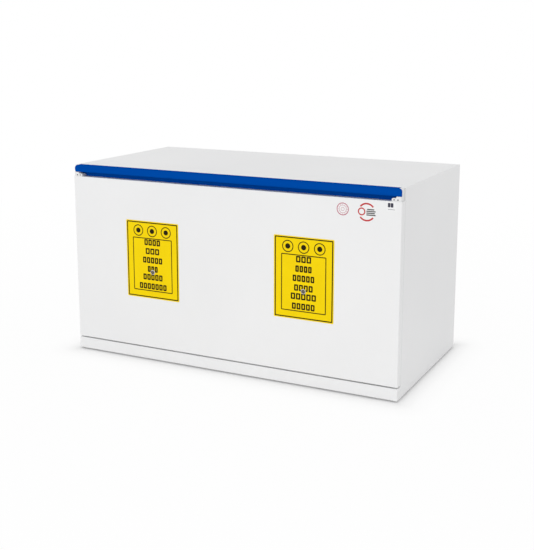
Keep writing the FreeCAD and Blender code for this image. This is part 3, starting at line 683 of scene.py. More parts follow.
# Where the two coordinates of an outline and the distance along it go, for a prism along each axis.
PRISM_AXES = {"x": (1, 2, 0), "y": (0, 2, 1), "z": (0, 1, 2)}
bevel_angle = 35


def prism(shell, outline, axis, start, end, chamfer=0.0):
    """Run an outline along an axis from start to end, with a small bevel on all its sharp edges."""
    u_place, v_place, along_place = PRISM_AXES[axis]
    rings = []
    for along in (start, end):
        ring = []
        for u, v in outline:
            spot = [0.0, 0.0, 0.0]
            spot[u_place] = u
            spot[v_place] = v
            spot[along_place] = along
            ring.append(shell.verts.new(spot))
        rings.append(ring)
    made = [shell.faces.new(rings[0]), shell.faces.new(rings[1])] + join_rings(shell, *rings)
    bmesh.ops.recalc_face_normals(shell, faces=made)
    if chamfer:
        edges = dict.fromkeys(edge for face in made for edge in face.edges)
        sharp = [edge for edge in edges if edge.calc_face_angle(0.0) > math.radians(bevel_angle)]
        bmesh.ops.bevel(shell, geom=sharp, offset=chamfer, segments=2, profile=0.5, affect="EDGES")


for place_name in runner_places:
    inner = "runner_drawer_" + place_name
    coat(strip_zinc, "runner_fixed_" + place_name, "runner_centre_" + place_name, inner)
    tip_low, tip_high = corners_of(inner)
    left_gap, right_gap = bumper_wall_gap, bumper_clear
    if place_name in ("left_wall", "right_middle"):
        left_gap, right_gap = bumper_clear, bumper_wall_gap
    bumper_low = (tip_low.x + left_gap, tip_low.z + bumper_rise)
    bumper_high = (tip_high.x - right_gap, tip_high.z - bumper_rise)
    shell = bmesh.new()
    prism(shell, rounded_outline(bumper_low, bumper_high, bumper_round, 4), "y",
          tip_low.y, tip_low.y + bumper_length, bumper_edge)
    finish_piece("runner_bumper_" + place_name, shell, rubber_black, "drawer")


# Drawer front board: a board that fills the folded skin.
# Two rows of flat screws in its rear face hold it there.
board_low, board_high = corners_of("front_board")
board_screw_inset = 0.022
board_screw_spans = 8
board_screw_radius = 0.0040
board_screw_head = 0.0006
board_rows = (board_low.z + board_screw_inset, board_high.z - board_screw_inset)
board_spots = []
for step in range(board_screw_spans + 1):
    share = step / board_screw_spans
    x = board_low.x + board_screw_inset + (board_high.x - board_low.x - board_screw_inset * 2) * share
    for z in board_rows:
        board_spots.append((x, board_high.y, z))
screws("front_board_screws", board_spots, (0, 1, 0), board_screw_radius, board_screw_head,
       "drawer", seed=31)


# Grip rail: an extruded profile in satin blue along the top of the drawer front.
# The hand reaches under its lip over the front's white top edge, and its rear wall runs down behind.
# The lip's ends are rounded off, and behind the lip the rail stops short for the caps of the grip ends.
grip_blue = (0.000, 0.072, 0.400)
grip_blue_deep = (0.000, 0.062, 0.365)
grip_gloss = 0.0
grip_wall = 0.002
lip_thick = 0.008
lip_height = 0.022
lip_round = 0.009
lip_nose_round = 0.006
lip_nose_height = 0.011
lip_edge_round = 0.0015
channel_round = 0.004
rail_edge = 0.0005
end_round = 0.0085
end_round_plan = 0.005
end_sections = 8
die_line_grain = 2600.0
die_line_depth = 0.00001
grip_cloud_grain = 40.0
grip_least_shine = 0.28
grip_most_shine = 0.40
drawn_stretch = (0.02, 1.0, 1.0)


def grip_finish():
    """Satin blue: fine die lines along the rail and a slight drift of tone."""
    finish, tree, shader, mapping = new_finish("blue_grip", grip_most_shine)
    shader.inputs["Specular IOR Level"].default_value = grip_gloss
    mapping.inputs["Scale"].default_value = drawn_stretch
    clouds = noise(tree, mapping, grip_cloud_grain)
    blend_tones(tree, shader, clouds, grip_blue_deep, grip_blue, wide_drift)
    lines = noise(tree, mapping, die_line_grain, 1.0)
    vary_shine(tree, shader, lines, grip_least_shine, grip_most_shine)
    raise_grain(tree, shader, lines, die_line_depth, 0.5)
    return finish


grip_low, grip_high = corners_of("grip_rail")
lip_front = grip_low.y
lip_back = lip_front + lip_thick
rail_back = grip_high.y
channel_back = rail_back - grip_wall
rail_top = grip_high.z
rail_foot = grip_low.z
ceiling = rail_top - grip_wall
lip_low = rail_top - lip_height

crown = arc(lip_front + lip_round, rail_top - lip_round, lip_round, 180, 90, 12)
rear = [(rail_back - rail_edge, rail_top), (rail_back, rail_top - rail_edge)]
rear += [(rail_back, rail_foot), (channel_back, rail_foot)]
rear += arc(channel_back - channel_round, ceiling - channel_round, channel_round, 0, 90, 6)
rear += arc(lip_back + channel_round, ceiling - channel_round, channel_round, 90, 180, 6)
nose = arc(lip_back - lip_edge_round, lip_low + lip_edge_round, lip_edge_round, 360, 270, 5)
nose_stretch = lip_nose_height / lip_nose_round
nose_front = arc(lip_front + lip_nose_round, lip_low + lip_nose_round, lip_nose_round, 270, 180, 10)
nose += [(y, lip_low + (z - lip_low) * nose_stretch) for y, z in nose_front]
lip_outline = crown + rear[-1:] + nose
whole_outline = crown + rear + nose


def rail_ring(shell, outline, x, drop=0.0, back=0.0):
    """One cross-section of the rail, with the top of its lip lowered and set back."""
    ring = []
    straight = lip_height - lip_nose_height
    for y, z in outline:
        high_share = min(1.0, max(0.0, (z - lip_low - lip_nose_height) / straight))
        front_share = min(1.0, max(0.0, (lip_back - y) / lip_thick))
        ring.append(shell.verts.new((x, y + back * front_share, z - drop * high_share)))
    return ring


shell = bmesh.new()
whole_rings = []
for side, sign in SIDES:
    outer = grip_low.x if sign < 0 else grip_high.x
    whole = rail_ring(shell, whole_outline, outer - sign * end_round)
    last = whole[:len(crown)] + whole[len(crown) + len(rear) - 1:]
    shell.faces.new([whole[len(crown) - 1]] + whole[len(crown):len(crown) + len(rear)])
    for step in range(1, end_sections + 1):
        angle = math.pi / 2 * step / end_sections
        fall = 1 - math.cos(angle)
        ring = rail_ring(shell, lip_outline, outer - sign * end_round * (1 - math.sin(angle)),
                         end_round * fall, end_round_plan * fall)
        join_rings(shell, last, ring)
        last = ring
    shell.faces.new(last)
    whole_rings.append(whole)
join_rings(shell, *whole_rings)
finish_piece("grip_profile", shell, grip_finish(), "drawer", ("grip_rail",))


# Grip ends: light moulded blocks that close the finger channel at both ends.
# Each is stepped towards the middle with soft noses, has a cap over the rail's cut end behind the lip,
# and is held by two black screws.
end_tone = (0.820, 0.822, 0.826)
end_shade = (0.790, 0.792, 0.797)
end_shine = (0.34, 0.46)
end_plastic = moulded_finish("end_plastic", end_tone, end_shade, *end_shine)
black_tone = (0.030, 0.030, 0.032)
black_shade = (0.022, 0.022, 0.024)
black_shine = (0.30, 0.42)
black_steel = moulded_finish("black_steel", black_tone, black_shade, *black_shine)
end_step_length = 0.015
end_step_height = 0.009
end_nose_round = 0.004
end_step_round = 0.002
end_seat_gap = 0.0003
end_key_inset = 0.008
end_key_round = 0.0035
end_cap_round = 0.001
end_block_edge = 0.0006
end_cap_edge = 0.0003
end_screw_radius = 0.0022
end_screw_head = 0.0008
end_screw_insets = (0.010, 0.021)
end_spots = []
for side, sign in SIDES:
    node_name = "grip_end_" + side
    low, high = corners_of(node_name)
    outer = low.x if sign < 0 else high.x
    inner = high.x if sign < 0 else low.x
    step_x = outer - sign * end_step_length
    shelf = low.z + end_step_height
    roof = lip_low - end_seat_gap
    away = 0 if sign < 0 else 180
    outline = [(outer, roof), (outer, low.z), (inner, low.z)]
    outline += arc(inner + sign * end_nose_round, shelf - end_nose_round, end_nose_round, away, 90, 8)
    outline += arc(step_x - sign * end_step_round, shelf + end_step_round, end_step_round,
                   270, 180 + away, 5)
    outline += arc(step_x + sign * end_step_round, roof - end_step_round, end_step_round, away, 90, 5)
    shell = bmesh.new()
    prism(shell, outline, "y", low.y, high.y, end_block_edge)
    behind_lip = lip_back + end_seat_gap
    key = rounded_outline((behind_lip, roof - end_step_round), (high.y, high.z), end_key_round, 5)
    key_outer = outer - sign * end_key_inset
    prism(shell, key, "x", min(key_outer, step_x), max(key_outer, step_x), end_cap_edge)
    cap = [(behind_lip, roof), (high.y, roof), (high.y, low.z), (rail_back, low.z)]
    cap += arc(rail_back - end_cap_round, rail_top - end_cap_round, end_cap_round, 0, 90, 4)
    cap += arc(behind_lip + end_cap_round, rail_top - end_cap_round, end_cap_round, 90, 180, 4)
    cap_x = outer - sign * (end_round - end_seat_gap)
    prism(shell, cap, "x", min(cap_x, outer), max(cap_x, outer), end_cap_edge)
    finish_piece("grip_block_" + side, shell, end_plastic, "drawer", (node_name,))
    end_spots += [(outer - sign * inset, low.y + end_seat_gap, low.z + end_step_height / 2)
                  for inset in end_screw_insets]
screws("grip_end_screw_heads", end_spots, (0, -1, 0), end_screw_radius, end_screw_head,
       "drawer", seed=41, stands_for=("grip_end_screws",), finish=black_steel)


# Label plates: yellow plates held flat on the front, one before each compartment.
# The border, the inner frame, three ring marks and six rows of plain blocks are printed in dark ink.
# The print stands a hair proud of the plate and has no words or signs.
plate_yellow = (0.960, 0.705, 0.002)
plate_yellow_deep = (0.930, 0.668, 0.002)
ink_tone = (0.024, 0.018, 0.004)
ink_shade = (0.016, 0.012, 0.003)
ink_proud = 0.00006
border_inset = 0.003
border_line = 0.0034
frame_left = 0.125
frame_right = 0.875
frame_top = 0.215
frame_foot = 0.905
frame_line = 0.0028
ring_row = 0.125
ring_places = (0.235, 0.500, 0.765)
ring_radius = 0.0180
ring_line = 0.0028
dot_radius = 0.0080
block_rows = (0.270, 0.385, 0.500, 0.615, 0.720, 0.840)
block_height = 0.019
block_width = 0.0125
block_gap = 0.0026
block_line = 0.0044
row_widths = {"left": (0.30, 0.26, 0.37, 0.19, 0.37, 0.52),
              "right": (0.25, 0.27, 0.36, 0.31, 0.42, 0.38)}
border_corner = 0.0024
frame_corner = 0.003
block_corner = 0.0022
# The inner corners of a printed frame keep at least this share of its outer corners.
least_corner_share = 0.3
band_corner_steps = 4
dot_steps = 24
plate_gloss = 0.06
plate_shine = (0.30, 0.40)
ink_shine = (0.35, 0.50)
plate_finish = moulded_finish("yellow_plate", plate_yellow, plate_yellow_deep, *plate_shine, plate_gloss)
ink = moulded_finish("plate_ink", ink_tone, ink_shade, *ink_shine, plate_gloss)


def outline_band(shell, outer, inner, face, proud):
    """A flat band between two outlines with equal numbers of points, standing proud of a face."""
    rings = []
    for outline, y in ((outer, face), (outer, face - proud), (inner, face - proud), (inner, face)):
        rings.append([shell.verts.new((u, y, v)) for u, v in outline])
    for near, far in zip(rings, rings[1:] + rings[:1]):
        join_rings(shell, near, far)


def frame_band(shell, low, high, radius, line, face):
    """A printed frame of one line width, with round corners."""
    inner_low = (low[0] + line, low[1] + line)
    inner_high = (high[0] - line, high[1] - line)
    inner_radius = max(radius - line, radius * least_corner_share)
    outline_band(shell, rounded_outline(low, high, radius, band_corner_steps),
                 rounded_outline(inner_low, inner_high, inner_radius, band_corner_steps),
                 face, ink_proud)


def circle(centre, radius, steps=48):
    """A closed ring of points."""
    return arc(centre[0], centre[1], radius, 0, 360 - 360 / steps, steps - 1)


for side, sign in SIDES:
    node_name = "label_plate_" + side
    coat(plate_finish, node_name)
    low, high = corners_of(node_name)
    face = low.y
    width = high.x - low.x
    height = high.z - low.z
    shell = bmesh.new()
    frame_band(shell, (low.x + border_inset, low.z + border_inset),
               (high.x - border_inset, high.z - border_inset), border_corner, border_line, face)
    frame_band(shell, (low.x + width * frame_left, high.z - height * frame_foot),
               (low.x + width * frame_right, high.z - height * frame_top), frame_corner, frame_line, face)
    for place in ring_places:
        centre = (low.x + width * place, high.z - height * ring_row)
        outline_band(shell, circle(centre, ring_radius), circle(centre, ring_radius - ring_line),
                     face, ink_proud)
        prism(shell, circle(centre, dot_radius, dot_steps), "y", face - ink_proud, face)
    for row, share in zip(block_rows, row_widths[side]):
        middle_x = (low.x + high.x) / 2
        middle_z = high.z - height * row
        row_width = width * share
        count = max(2, round((row_width + block_gap) / (block_width + block_gap)))
        pitch = (row_width + block_gap) / count
        for block in range(count):
            near = middle_x - row_width / 2 + block * pitch
            frame_band(shell, (near, middle_z - block_height / 2),
                       (near + pitch - block_gap, middle_z + block_height / 2),
                       block_corner, block_line, face)
    finish_piece("plate_print_" + side, shell, ink, "drawer")


# Panel screws: each clamps the front to the post behind it.
# A turned cup washer lies on the plate round a domed cap, which has a small recess for its key.
# The cup is bright, and the cap's dark colour is painted shade of the dome, so that together they look
# like one grey dome.
cup_radius = 0.0080
cup_thick = 0.0014
# The cup's rim, from the plate inwards, as shares of its radius and its thickness.
cup_rim_shares = ((1.0, 0.0), (0.985, 0.45), (0.93, 0.85), (0.86, 1.0))
cup_lip_share = 0.9
cap_radius = 0.0055
cap_seat = 0.0001
cap_clear = 0.0002
dome_first_angle = 12
dome_angle = 11
dome_steps = 7
socket_radius = 0.0014
socket_deep = 0.0009
socket_floor_share = 0.94
shank_radius = 0.0025
shank_reach = 0.0355
shank_start = -0.0006
shank_steps = 24
turned_stretch = (1.0, 1.0, 1.0)
cup_tone = (0.600, 0.585, 0.560)
cup_shade = (0.520, 0.505, 0.480)
# The cap's dark tones are painted shade, standing in for the shaded side of a rounder dome.
cap_painted_shade_tone = (0.150, 0.140, 0.125)
cap_painted_shade_deep = (0.110, 0.100, 0.090)
cup_steel = zinc_finish("cup_steel", turned_stretch, cup_tone, cup_shade)
# The cap's finish is made from these painted shade tones.
cap_steel = zinc_finish("cap_steel", turned_stretch, cap_painted_shade_tone, cap_painted_shade_deep)
screws_low, screws_high = corners_of("panel_screws")
for side, sign in SIDES:
    low, high = corners_of("label_plate_" + side)
    face = low.y
    centre = ((low.x + high.x) / 2, face, (screws_low.z + screws_high.z) / 2)
    reach = face - screws_low.y
    cap_foot = cup_thick / 2
    cup = [(0.0, 0.0)] + [(cup_radius * out, cup_thick * up) for out, up in cup_rim_shares]
    cup += [(cap_radius + cap_clear * 2, cup_thick * cup_lip_share), (cap_radius, cap_foot),
            (cap_radius, cap_seat), (0.0, cap_seat)]
    dome_radius = cap_radius - cap_clear
    dome = [(0.0, cap_seat), (dome_radius, cap_seat)]
    rise = reach - cap_foot
    for step in range(dome_steps):
        angle = math.radians(dome_first_angle + dome_angle * step)
        dome.append((dome_radius * math.cos(angle), cap_foot + rise * math.sin(angle)))
    socket_floor = reach - socket_deep
    dome += [(socket_radius, reach - cap_seat), (socket_radius * socket_floor_share, socket_floor),
             (0.0, socket_floor)]
    shank = [(0.0, shank_start), (shank_radius, shank_start), (shank_radius, -shank_reach),
             (0.0, -shank_reach)]
    shell = bmesh.new()
    turned(shell, centre, (0, -1, 0), cup)
    turned(shell, centre, (0, -1, 0), shank, shank_steps)
    names = ("panel_screws",) if sign < 0 else ()
    finish_piece("panel_screw_cup_" + side, shell, cup_steel, "drawer", names)
    shell = bmesh.new()
    turned(shell, centre, (0, -1, 0), dome)
    finish_piece("panel_screw_cap_" + side, shell, cap_steel, "drawer")


# Stickers: three small printed labels at the top right of the drawer front, with plain rings and bars.
# They are cut from white film, each with its print a hair proud of it.
film_tone = (0.880, 0.880, 0.882)
film_shade = (0.862, 0.862, 0.866)
film_shine = (0.28, 0.36)
film_white = moulded_finish("label_film", film_tone, film_shade, *film_shine)
film_ink_shine = (0.4, 0.5)
inks = {}
for colour, tone, shade in (("red", (0.560, 0.028, 0.030), (0.500, 0.022, 0.024)),
                            ("pink", (0.500, 0.120, 0.180), (0.450, 0.100, 0.150)),
                            ("grey", (0.085, 0.082, 0.085), (0.065, 0.062, 0.065)),
                            ("navy", (0.016, 0.014, 0.045), (0.012, 0.010, 0.034))):
    inks[colour] = moulded_finish("ink_" + colour, tone, shade, *film_ink_shine)
film_thick = 0.00008
print_thick = 0.00005
label_steps = 64
skin_low = corners_of("front_skin")[0]
front_face = skin_low.y
print_face = front_face - film_thick
left_edge = skin_low.x
foot_line = corners_of("side_panel_left")[0].z


def on_front(across_front, up):
    """A place on the drawer front, from its left edge and the casing's foot."""
    return left_edge + across_front, foot_line + up


def sticker(name, outline):
    """A flat piece of white film on the front."""
    shell = bmesh.new()
    prism(shell, outline, "y", print_face, front_face)
    finish_piece(name, shell, film_white, "drawer")


def round_box(middle, half_width, half_height, soft, steps=3):
    """A rectangle with round corners about its middle."""
    low = (middle[0] - half_width, middle[1] - half_height)
    high = (middle[0] + half_width, middle[1] + half_height)
    return rounded_outline(low, high, soft, steps)


def printed_ring(shell, centre, radius, line):
    """A ring of ink on the film."""
    outline_band(shell, circle(centre, radius, label_steps), circle(centre, radius - line, label_steps),
                 print_face, print_thick)


def printed_patch(shell, outline):
    """A patch of ink on the film."""
    prism(shell, outline, "y", print_face - print_thick, print_face)


ring_label_at = on_front(0.9266, 0.5365)
ring_label_radius = 0.0185
ring_label_dots = 12
ring_label_dot = 0.0009
ring_label_dot_steps = 12
ring_label_dot_circle = ring_label_radius * 0.75
# Three rings, as shares of the label's radius, with the width of their lines.
ring_label_rings = ((0.98, 0.0024), (0.62, 0.0011), (0.28, 0.0009))
sticker("ring_label", circle(ring_label_at, ring_label_radius, label_steps))
shell = bmesh.new()
for share, line in ring_label_rings:
    printed_ring(shell, ring_label_at, ring_label_radius * share, line)
for step in range(ring_label_dots):
    angle = math.tau * step / ring_label_dots
    dot_at = (ring_label_at[0] + ring_label_dot_circle * math.cos(angle),
              ring_label_at[1] + ring_label_dot_circle * math.sin(angle))
    printed_patch(shell, circle(dot_at, ring_label_dot, ring_label_dot_steps))
finish_piece("ring_label_print", shell, inks["pink"], "drawer")

round_label_at = on_front(0.9980, 0.5333)
round_label_radius = 0.0290
arc_outer = 0.0262
arc_inner = 0.0215
arc_ends = ((38, 142), (218, 322))
arc_steps = 24
red_ring_offset = (-0.0150, 0.0008)
red_ring_radius = 0.0112
red_ring_line = 0.0036
bar_half_height = 0.0017
bar_pitch = 0.0052
bar_round = 0.0006
bar_ends = ((0.001, 0.022), (-0.001, 0.026), (-0.001, 0.024), (-0.001, 0.026))
sticker("round_label", circle(round_label_at, round_label_radius, label_steps))
shell = bmesh.new()
red_ring_at = (round_label_at[0] + red_ring_offset[0], round_label_at[1] + red_ring_offset[1])
printed_ring(shell, red_ring_at, red_ring_radius, red_ring_line)
for start, end in arc_ends:
    outline = arc(*round_label_at, arc_outer, start, end, arc_steps)
    outline += arc(*round_label_at, arc_inner, end, start, arc_steps)
    printed_patch(shell, outline)
finish_piece("round_label_ring", shell, inks["red"], "drawer")
shell = bmesh.new()
for row, (start, end) in enumerate(bar_ends):
    rise = bar_pitch * ((len(bar_ends) - 1) / 2 - row)
    middle = (round_label_at[0] + (start + end) / 2, round_label_at[1] + rise)
    printed_patch(shell, round_box(middle, (end - start) / 2, bar_half_height, bar_round))
finish_piece("round_label_bars", shell, inks["grey"], "drawer")

small_label_at = on_front(1.0688, 0.5545)
small_half_width = 0.0145
small_half_height = 0.0135
small_corner = 0.002
# Two upright blocks and a thin bar, as offsets from the middle, half widths, half heights and corners.
small_marks = (((-0.0062, 0.0035), 0.0037, 0.0060, 0.0015), ((0.0022, 0.0035), 0.0037, 0.0060, 0.0015),
               ((0.0010, -0.0085), 0.0100, 0.0005, 0.0003))
sticker("small_label", round_box(small_label_at, small_half_width, small_half_height, small_corner, 4))
shell = bmesh.new()
for (aside, up), half_width, half_height, soft in small_marks:
    middle = (small_label_at[0] + aside, small_label_at[1] + up)
    printed_patch(shell, round_box(middle, half_width, half_height, soft))
finish_piece("small_label_print", shell, inks["navy"], "drawer")


# Drawer frame: two folded carriers, an upright post behind each fixing, and four gussets.
# All are steel sheet in a light grey coat that stands up to spills, joined by domed rivets.
coat(inner_coat, "tray_carrier_left", "tray_carrier_right", "front_post_left", "front_post_right",
     "gusset_left_outer", "gusset_left_inner", "gusset_right_inner", "gusset_right_outer")
frame_sheet = 0.0015
rivet_radius = 0.0034
rivet_height = 0.0013
rivet_sink = 0.0002
rivet_steps = 16
# The rivet's domed side, as shares of its radius and its height.
rivet_side_shares = ((1.0, 0.3), (0.7, 0.85), (0.0, 1.0))
rivet_outline = [(0.0, -rivet_sink), (rivet_radius, -rivet_sink)]
rivet_outline += [(rivet_radius * out, rivet_height * up) for out, up in rivet_side_shares]
fixings_per_row = 4
rivet_row_rise = 0.050
rivet_row_start = 0.032
rivet_pitch = 0.045
gusset_flange_inset = 0.008
gusset_screw_start = 0.095
gusset_screw_pitch = 0.055
gusset_screw_radius = 0.0036
gusset_screw_head = 0.0018
post_screw_aside = 0.016
post_screw_rises = (0.095, 0.175, 0.225)
post_screw_radius = 0.0038
post_screw_head = 0.0020
nut_outline = [(0.0027, 0.0), (0.0065, 0.0), (0.0065, 0.0008), (0.0052, 0.0008),
               (0.0054, 0.0012), (0.0054, 0.0040), (0.0050, 0.0046), (0.0027, 0.0046)]
for gusset in ("left_outer", "left_inner", "right_inner", "right_outer"):
    low, high = corners_of("gusset_" + gusset)
    inward = 1 if gusset in ("left_outer", "right_inner") else -1
    web_x, edge_x = (low.x, high.x) if inward > 0 else (high.x, low.x)
    face = web_x + frame_sheet * inward
    shell = bmesh.new()
    for step in range(fixings_per_row):
        spot = (face, low.y + rivet_row_start + rivet_pitch * step, low.z + rivet_row_rise)
        turned(shell, spot, (inward, 0, 0), rivet_outline, rivet_steps)
    finish_piece("gusset_rivets_" + gusset, shell, zinc, "drawer")
    heads = [(edge_x - gusset_flange_inset * inward, low.y + frame_sheet,
              low.z + gusset_screw_start + gusset_screw_pitch * step) for step in range(fixings_per_row)]
    screws("gusset_screws_" + gusset, heads, (0, 1, 0), gusset_screw_radius, gusset_screw_head,
           "drawer", seed=51)
for side, sign in SIDES:
    low, high = corners_of("front_post_" + side)
    middle_x = (low.x + high.x) / 2
    web_face = low.y + frame_sheet
    heads = [(middle_x + post_screw_aside * turn, web_face, low.z + rise)
             for turn in (-1, 1) for rise in post_screw_rises]
    screws("post_screws_" + side, heads, (0, 1, 0), post_screw_radius, post_screw_head,
           "drawer", seed=61 + sign)
    nut_at = (middle_x, web_face, (screws_low.z + screws_high.z) / 2)
    shell = bmesh.new()
    turned(shell, nut_at, (0, 1, 0), nut_outline, hexagon_sides, closed=True)
    finish_piece("post_nut_" + side, shell, zinc, "drawer")


# Sump trays: liquid-tight trays, thermoformed from grey polypropylene, that stand loose in the carriers.
# A step round the inside carries the grid, and the rim is rolled outwards.
tray_tone = (0.560, 0.580, 0.600)
tray_shade = (0.520, 0.540, 0.560)
tray_shine = (0.36, 0.48)
tray_plastic = moulded_finish("tray_plastic", tray_tone, tray_shade, *tray_shine)
tray_rim = 0.007
tray_wall = 0.004
tray_step = 0.008
tray_step_height = 0.034
tray_floor_thick = 0.004
tray_rim_thick = 0.004
tray_corner = 0.022
tray_edge = 0.0012
# As shares of the edge: how far the middle point of a soft edge lies in from both its faces,
# and how far that of the cove at the floor lies above the floor.
tray_soft_share = 0.4
tray_cove_share = 0.6
tray_smooth_angle = 50.0
corner_steps = 8
rib_count = 7
rib_inset = 0.060
rib_first = 0.070
rib_half_width = 0.003
rib_end_round = 0.0029
rib_sunk = 0.0005
rib_proud = 0.0015


def tray_rings(base, top):
    """Rings of the tray's shell as (inset, height), from its underside over its rim to its floor."""
    inside = tray_rim + tray_wall
    step_in = inside + tray_step
    under_rim = top - tray_rim_thick
    floor_top = base + tray_floor_thick
    step_top = floor_top + tray_step_height
    edge = tray_edge
    soft = edge * tray_soft_share
    return [(tray_rim + edge, base), (tray_rim, base + edge), (tray_rim, under_rim), (edge, under_rim),
            (0.0, under_rim + edge), (0.0, top - edge), (soft, top - soft), (edge, top),
            (inside - edge, top), (inside - soft, top - soft), (inside, top - edge),
            (inside, step_top), (step_in - edge, step_top), (step_in, step_top - edge),
            (step_in, floor_top + edge * 2), (step_in + edge, floor_top + edge * tray_cove_share),
            (step_in + edge * 2, floor_top)]


for side, sign in SIDES:
    node_name = "sump_tray_" + side
    low, high = corners_of(node_name)
    shell = bmesh.new()
    loops = []
    for inset, z in tray_rings(low.z, high.z):
        outline = rounded_outline((low.x + inset, low.y + inset), (high.x - inset, high.y - inset),
                                  tray_corner + tray_rim - inset, corner_steps)
        loops.append([shell.verts.new((u, v, z)) for u, v in outline])
    for near, far in zip(loops, loops[1:]):
        join_rings(shell, near, far)
    shell.faces.new(loops[0])
    shell.faces.new(loops[-1])
    floor_top = low.z + tray_floor_thick
    rib_pitch = (high.y - low.y - rib_first * 2) / (rib_count - 1)
    for rib in range(rib_count):
        y = low.y + rib_first + rib * rib_pitch
        rib_outline = rounded_outline((low.x + rib_inset, y - rib_half_width),
                                      (high.x - rib_inset, y + rib_half_width), rib_end_round, 6)
        prism(shell, rib_outline, "z", floor_top - rib_sunk, floor_top + rib_proud, rib_sunk)
    finish_piece("sump_" + side, shell, tray_plastic, "tray_" + side, (node_name,),
                 smooth_angle=tray_smooth_angle)


# Tray grids: steel sheet plates, perforated and coated, that lie on the trays' steps.
# Each hole has a pressed collar, so that bottles stand clear of a wet plate.
collar_inner = 0.0080
collar_outer = 0.0096
collar_height = 0.0009
collar_steps = 24
collar_section_steps = 8
grid_side_margin = 0.06175
grid_end_margin = 0.033
grid_columns = 10
grid_rows = 11


def collar_tree():
    """Pressed collars on points: a low ring turned from a small round."""
    tree = new_tree("hole_collars")
    sockets = {"inner": tree_input(tree, "Inner radius", "NodeSocketFloat", collar_inner),
               "outer": tree_input(tree, "Outer radius", "NodeSocketFloat", collar_outer),
               "height": tree_input(tree, "Height", "NodeSocketFloat", collar_height),
               "finish": tree_input(tree, "Finish", "NodeSocketMaterial")}
    given = tree.nodes.new("NodeGroupInput").outputs
    width = reckon(tree, "SUBTRACT", given["Outer radius"], given["Inner radius"])
    total = reckon(tree, "ADD", given["Outer radius"], given["Inner radius"])
    path = node(tree, "GeometryNodeCurvePrimitiveCircle", [(times(tree, total, 0.5), "Radius")],
                Resolution=collar_steps)
    section = node(tree, "GeometryNodeCurvePrimitiveCircle", Resolution=collar_section_steps, Radius=0.5)
    shaped = node(tree, "GeometryNodeTransform",
                  [(section.outputs["Curve"], "Geometry"),
                   (vector(tree, width, times(tree, given["Height"], 2.0), 1.0), "Scale")])
    ring = node(tree, "GeometryNodeCurveToMesh",
                [(path.outputs["Curve"], "Curve"), (shaped.outputs["Geometry"], "Profile Curve")])
    smooth = node(tree, "GeometryNodeSetShadeSmooth", [(ring.outputs["Mesh"], "Geometry")])
    placed = node(tree, "GeometryNodeInstanceOnPoints",
                  [(given["Geometry"], "Points"), (smooth.outputs["Geometry"], "Instance")])
    close_tree(tree, placed.outputs["Instances"], given["Finish"])
    return tree, sockets


collars, collar_sockets = collar_tree()
for side, sign in SIDES:
    node_name = "tray_grid_" + side
    coat(inner_coat, node_name)
    low, high = corners_of(node_name)
    first = (low.x + grid_side_margin, low.y + grid_end_margin)
    pitch_x = (high.x - low.x - grid_side_margin * 2) / (grid_columns - 1)
    pitch_y = (high.y - low.y - grid_end_margin * 2) / (grid_rows - 1)
    holes = [(first[0] + pitch_x * column, first[1] + pitch_y * row, high.z)
             for column in range(grid_columns) for row in range(grid_rows)]
    values = {"inner": collar_inner, "outer": collar_outer, "height": collar_height,
              "finish": inner_coat}
    grow("grid_collars_" + side, holes, collars, collar_sockets, values, "grid_" + side)


# Floor and light: a plain pale floor that keeps the cabinet's soft shadow, white all round,
# a soft lamp from the front left, a weak one from the right, and an even sky.
floor_half = 9.0
floor_tone = (0.92, 0.92, 0.92)
# How much of the floor is seen as plain white, by distance from the cabinet's footprint.
glow_reach = 2.6
glow_steps = ((0.0, 0.20), (0.02, 0.60), (0.05, 0.86), (0.10, 0.95), (0.90, 0.97), (glow_reach, 1.0))
sky_level = 0.80
key_level = 0.60
key_soft = 24.0
key_pointing = (0.30, 1.0, -0.18)
rim_level = 0.10
rim_soft = 16.0
rim_pointing = (-0.95, 0.35, -0.12)


def seen_directly(tree):
    """One for camera, glossy and transmission rays, and nought for the rays that carry light."""
    rays = tree.nodes.new("ShaderNodeLightPath").outputs
    either = reckon(tree, "MAXIMUM", rays["Is Camera Ray"], rays["Is Glossy Ray"])
    return reckon(tree, "MAXIMUM", either, rays["Is Transmission Ray"])


def floor_finish():
    """Matt floor that shows as white to the camera, less so in the contact shadow round the footprint."""
    finish = bpy.data.materials.new("studio_floor")
    finish.use_nodes = True
    tree = finish.node_tree
    tree.nodes.clear()
    coordinates = tree.nodes.new("ShaderNodeTexCoord")
    spot = coordinates.outputs["Object"]
    half_extents = (cad_bounds[1][0], cad_bounds[1][1], 0.0)
    for operation, other in (("ABSOLUTE", None), ("SUBTRACT", half_extents), ("MAXIMUM", (0.0, 0.0, 0.0))):
        step = tree.nodes.new("ShaderNodeVectorMath")
        step.operation = operation
        tree.links.new(spot, step.inputs[0])
        if other is not None:
            step.inputs[1].default_value = other
        spot = step.outputs["Vector"]
    distance = node(tree, "ShaderNodeVectorMath", [(spot, 0)])
    distance.operation = "LENGTH"
    reach = reckon(tree, "DIVIDE", distance.outputs["Value"], glow_reach)
    ramp = node(tree, "ShaderNodeValToRGB", [(reach, "Fac")])
    stops = ramp.color_ramp.elements
    while len(stops) < len(glow_steps):
        stops.new(1.0)
    for stop, (away, share) in zip(stops, glow_steps):
        stop.position = away / glow_reach
        stop.color = (share, share, share, 1.0)
    glow_share = times(tree, ramp.outputs["Color"], seen_directly(tree))
    matt = node(tree, "ShaderNodeBsdfDiffuse", Color=(*floor_tone, 1.0))
    glow = tree.nodes.new("ShaderNodeEmission")
    mix = node(tree, "ShaderNodeMixShader", [(glow_share, "Fac"), (matt.outputs["BSDF"], 1),
                                             (glow.outputs["Emission"], 2)])
    node(tree, "ShaderNodeOutputMaterial", [(mix.outputs["Shader"], "Surface")])
    return finish


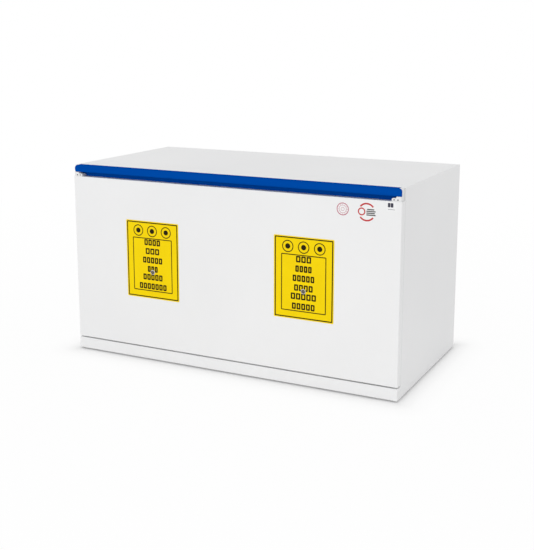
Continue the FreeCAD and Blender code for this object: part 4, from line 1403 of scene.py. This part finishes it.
floor_mesh = bpy.data.meshes.new("studio_floor")
floor_corners = [(-floor_half, -floor_half, 0.0), (floor_half, -floor_half, 0.0),
                 (floor_half, floor_half, 0.0), (-floor_half, floor_half, 0.0)]
floor_mesh.from_pydata(floor_corners, [], [(0, 1, 2, 3)])
floor_mesh.materials.append(floor_finish())
studio_floor = bpy.data.objects.new("studio_floor", floor_mesh)
bpy.context.collection.objects.link(studio_floor)

scene = bpy.context.scene
sky = bpy.data.worlds.new("studio_sky")
scene.world = sky
sky.use_nodes = True
sky_tree = sky.node_tree
sky_light = sky_tree.nodes["Background"]
sky_light.inputs["Color"].default_value = (1.0, 1.0, 1.0, 1.0)
strength = node(sky_tree, "ShaderNodeMapRange", [(seen_directly(sky_tree), "Value")],
                To_Min=sky_level, To_Max=1.0)
sky_tree.links.new(strength.outputs["Result"], sky_light.inputs["Strength"])


def lamp(name, level, soft, pointing):
    """A soft distant lamp that shines along a direction."""
    light = bpy.data.lights.new(name, "SUN")
    light.energy = level
    light.angle = math.radians(soft)
    item = bpy.data.objects.new(name, light)
    item.rotation_euler = Vector(pointing).to_track_quat("-Z", "Y").to_euler()
    bpy.context.collection.objects.link(item)


lamp("key_lamp", key_level, key_soft, key_pointing)
lamp("rim_lamp", rim_level, rim_soft, rim_pointing)


# Camera: at the photograph's angle, to the right of the front and slightly above it.
# Its shift places the cabinet as high in the picture as the photograph does.
camera_place = (1.39821, -2.79946, 1.02822)
camera_yaw = math.radians(26.65)
camera_pitch = math.radians(-10.87)
camera_lens = 64.35
camera_shift_up = -0.10
camera_sensor = 36.0
camera_data = bpy.data.cameras.new("photo_camera")
camera_data.lens = camera_lens
camera_data.sensor_width = camera_sensor
camera_data.shift_y = camera_shift_up
camera = bpy.data.objects.new("photo_camera", camera_data)
camera.location = camera_place
looking = Vector((-math.sin(camera_yaw) * math.cos(camera_pitch),
                  math.cos(camera_yaw) * math.cos(camera_pitch), math.sin(camera_pitch)))
camera.rotation_euler = looking.to_track_quat("-Z", "Y").to_euler()
bpy.context.collection.objects.link(camera)
scene.camera = camera
scene.view_settings.view_transform = "Standard"
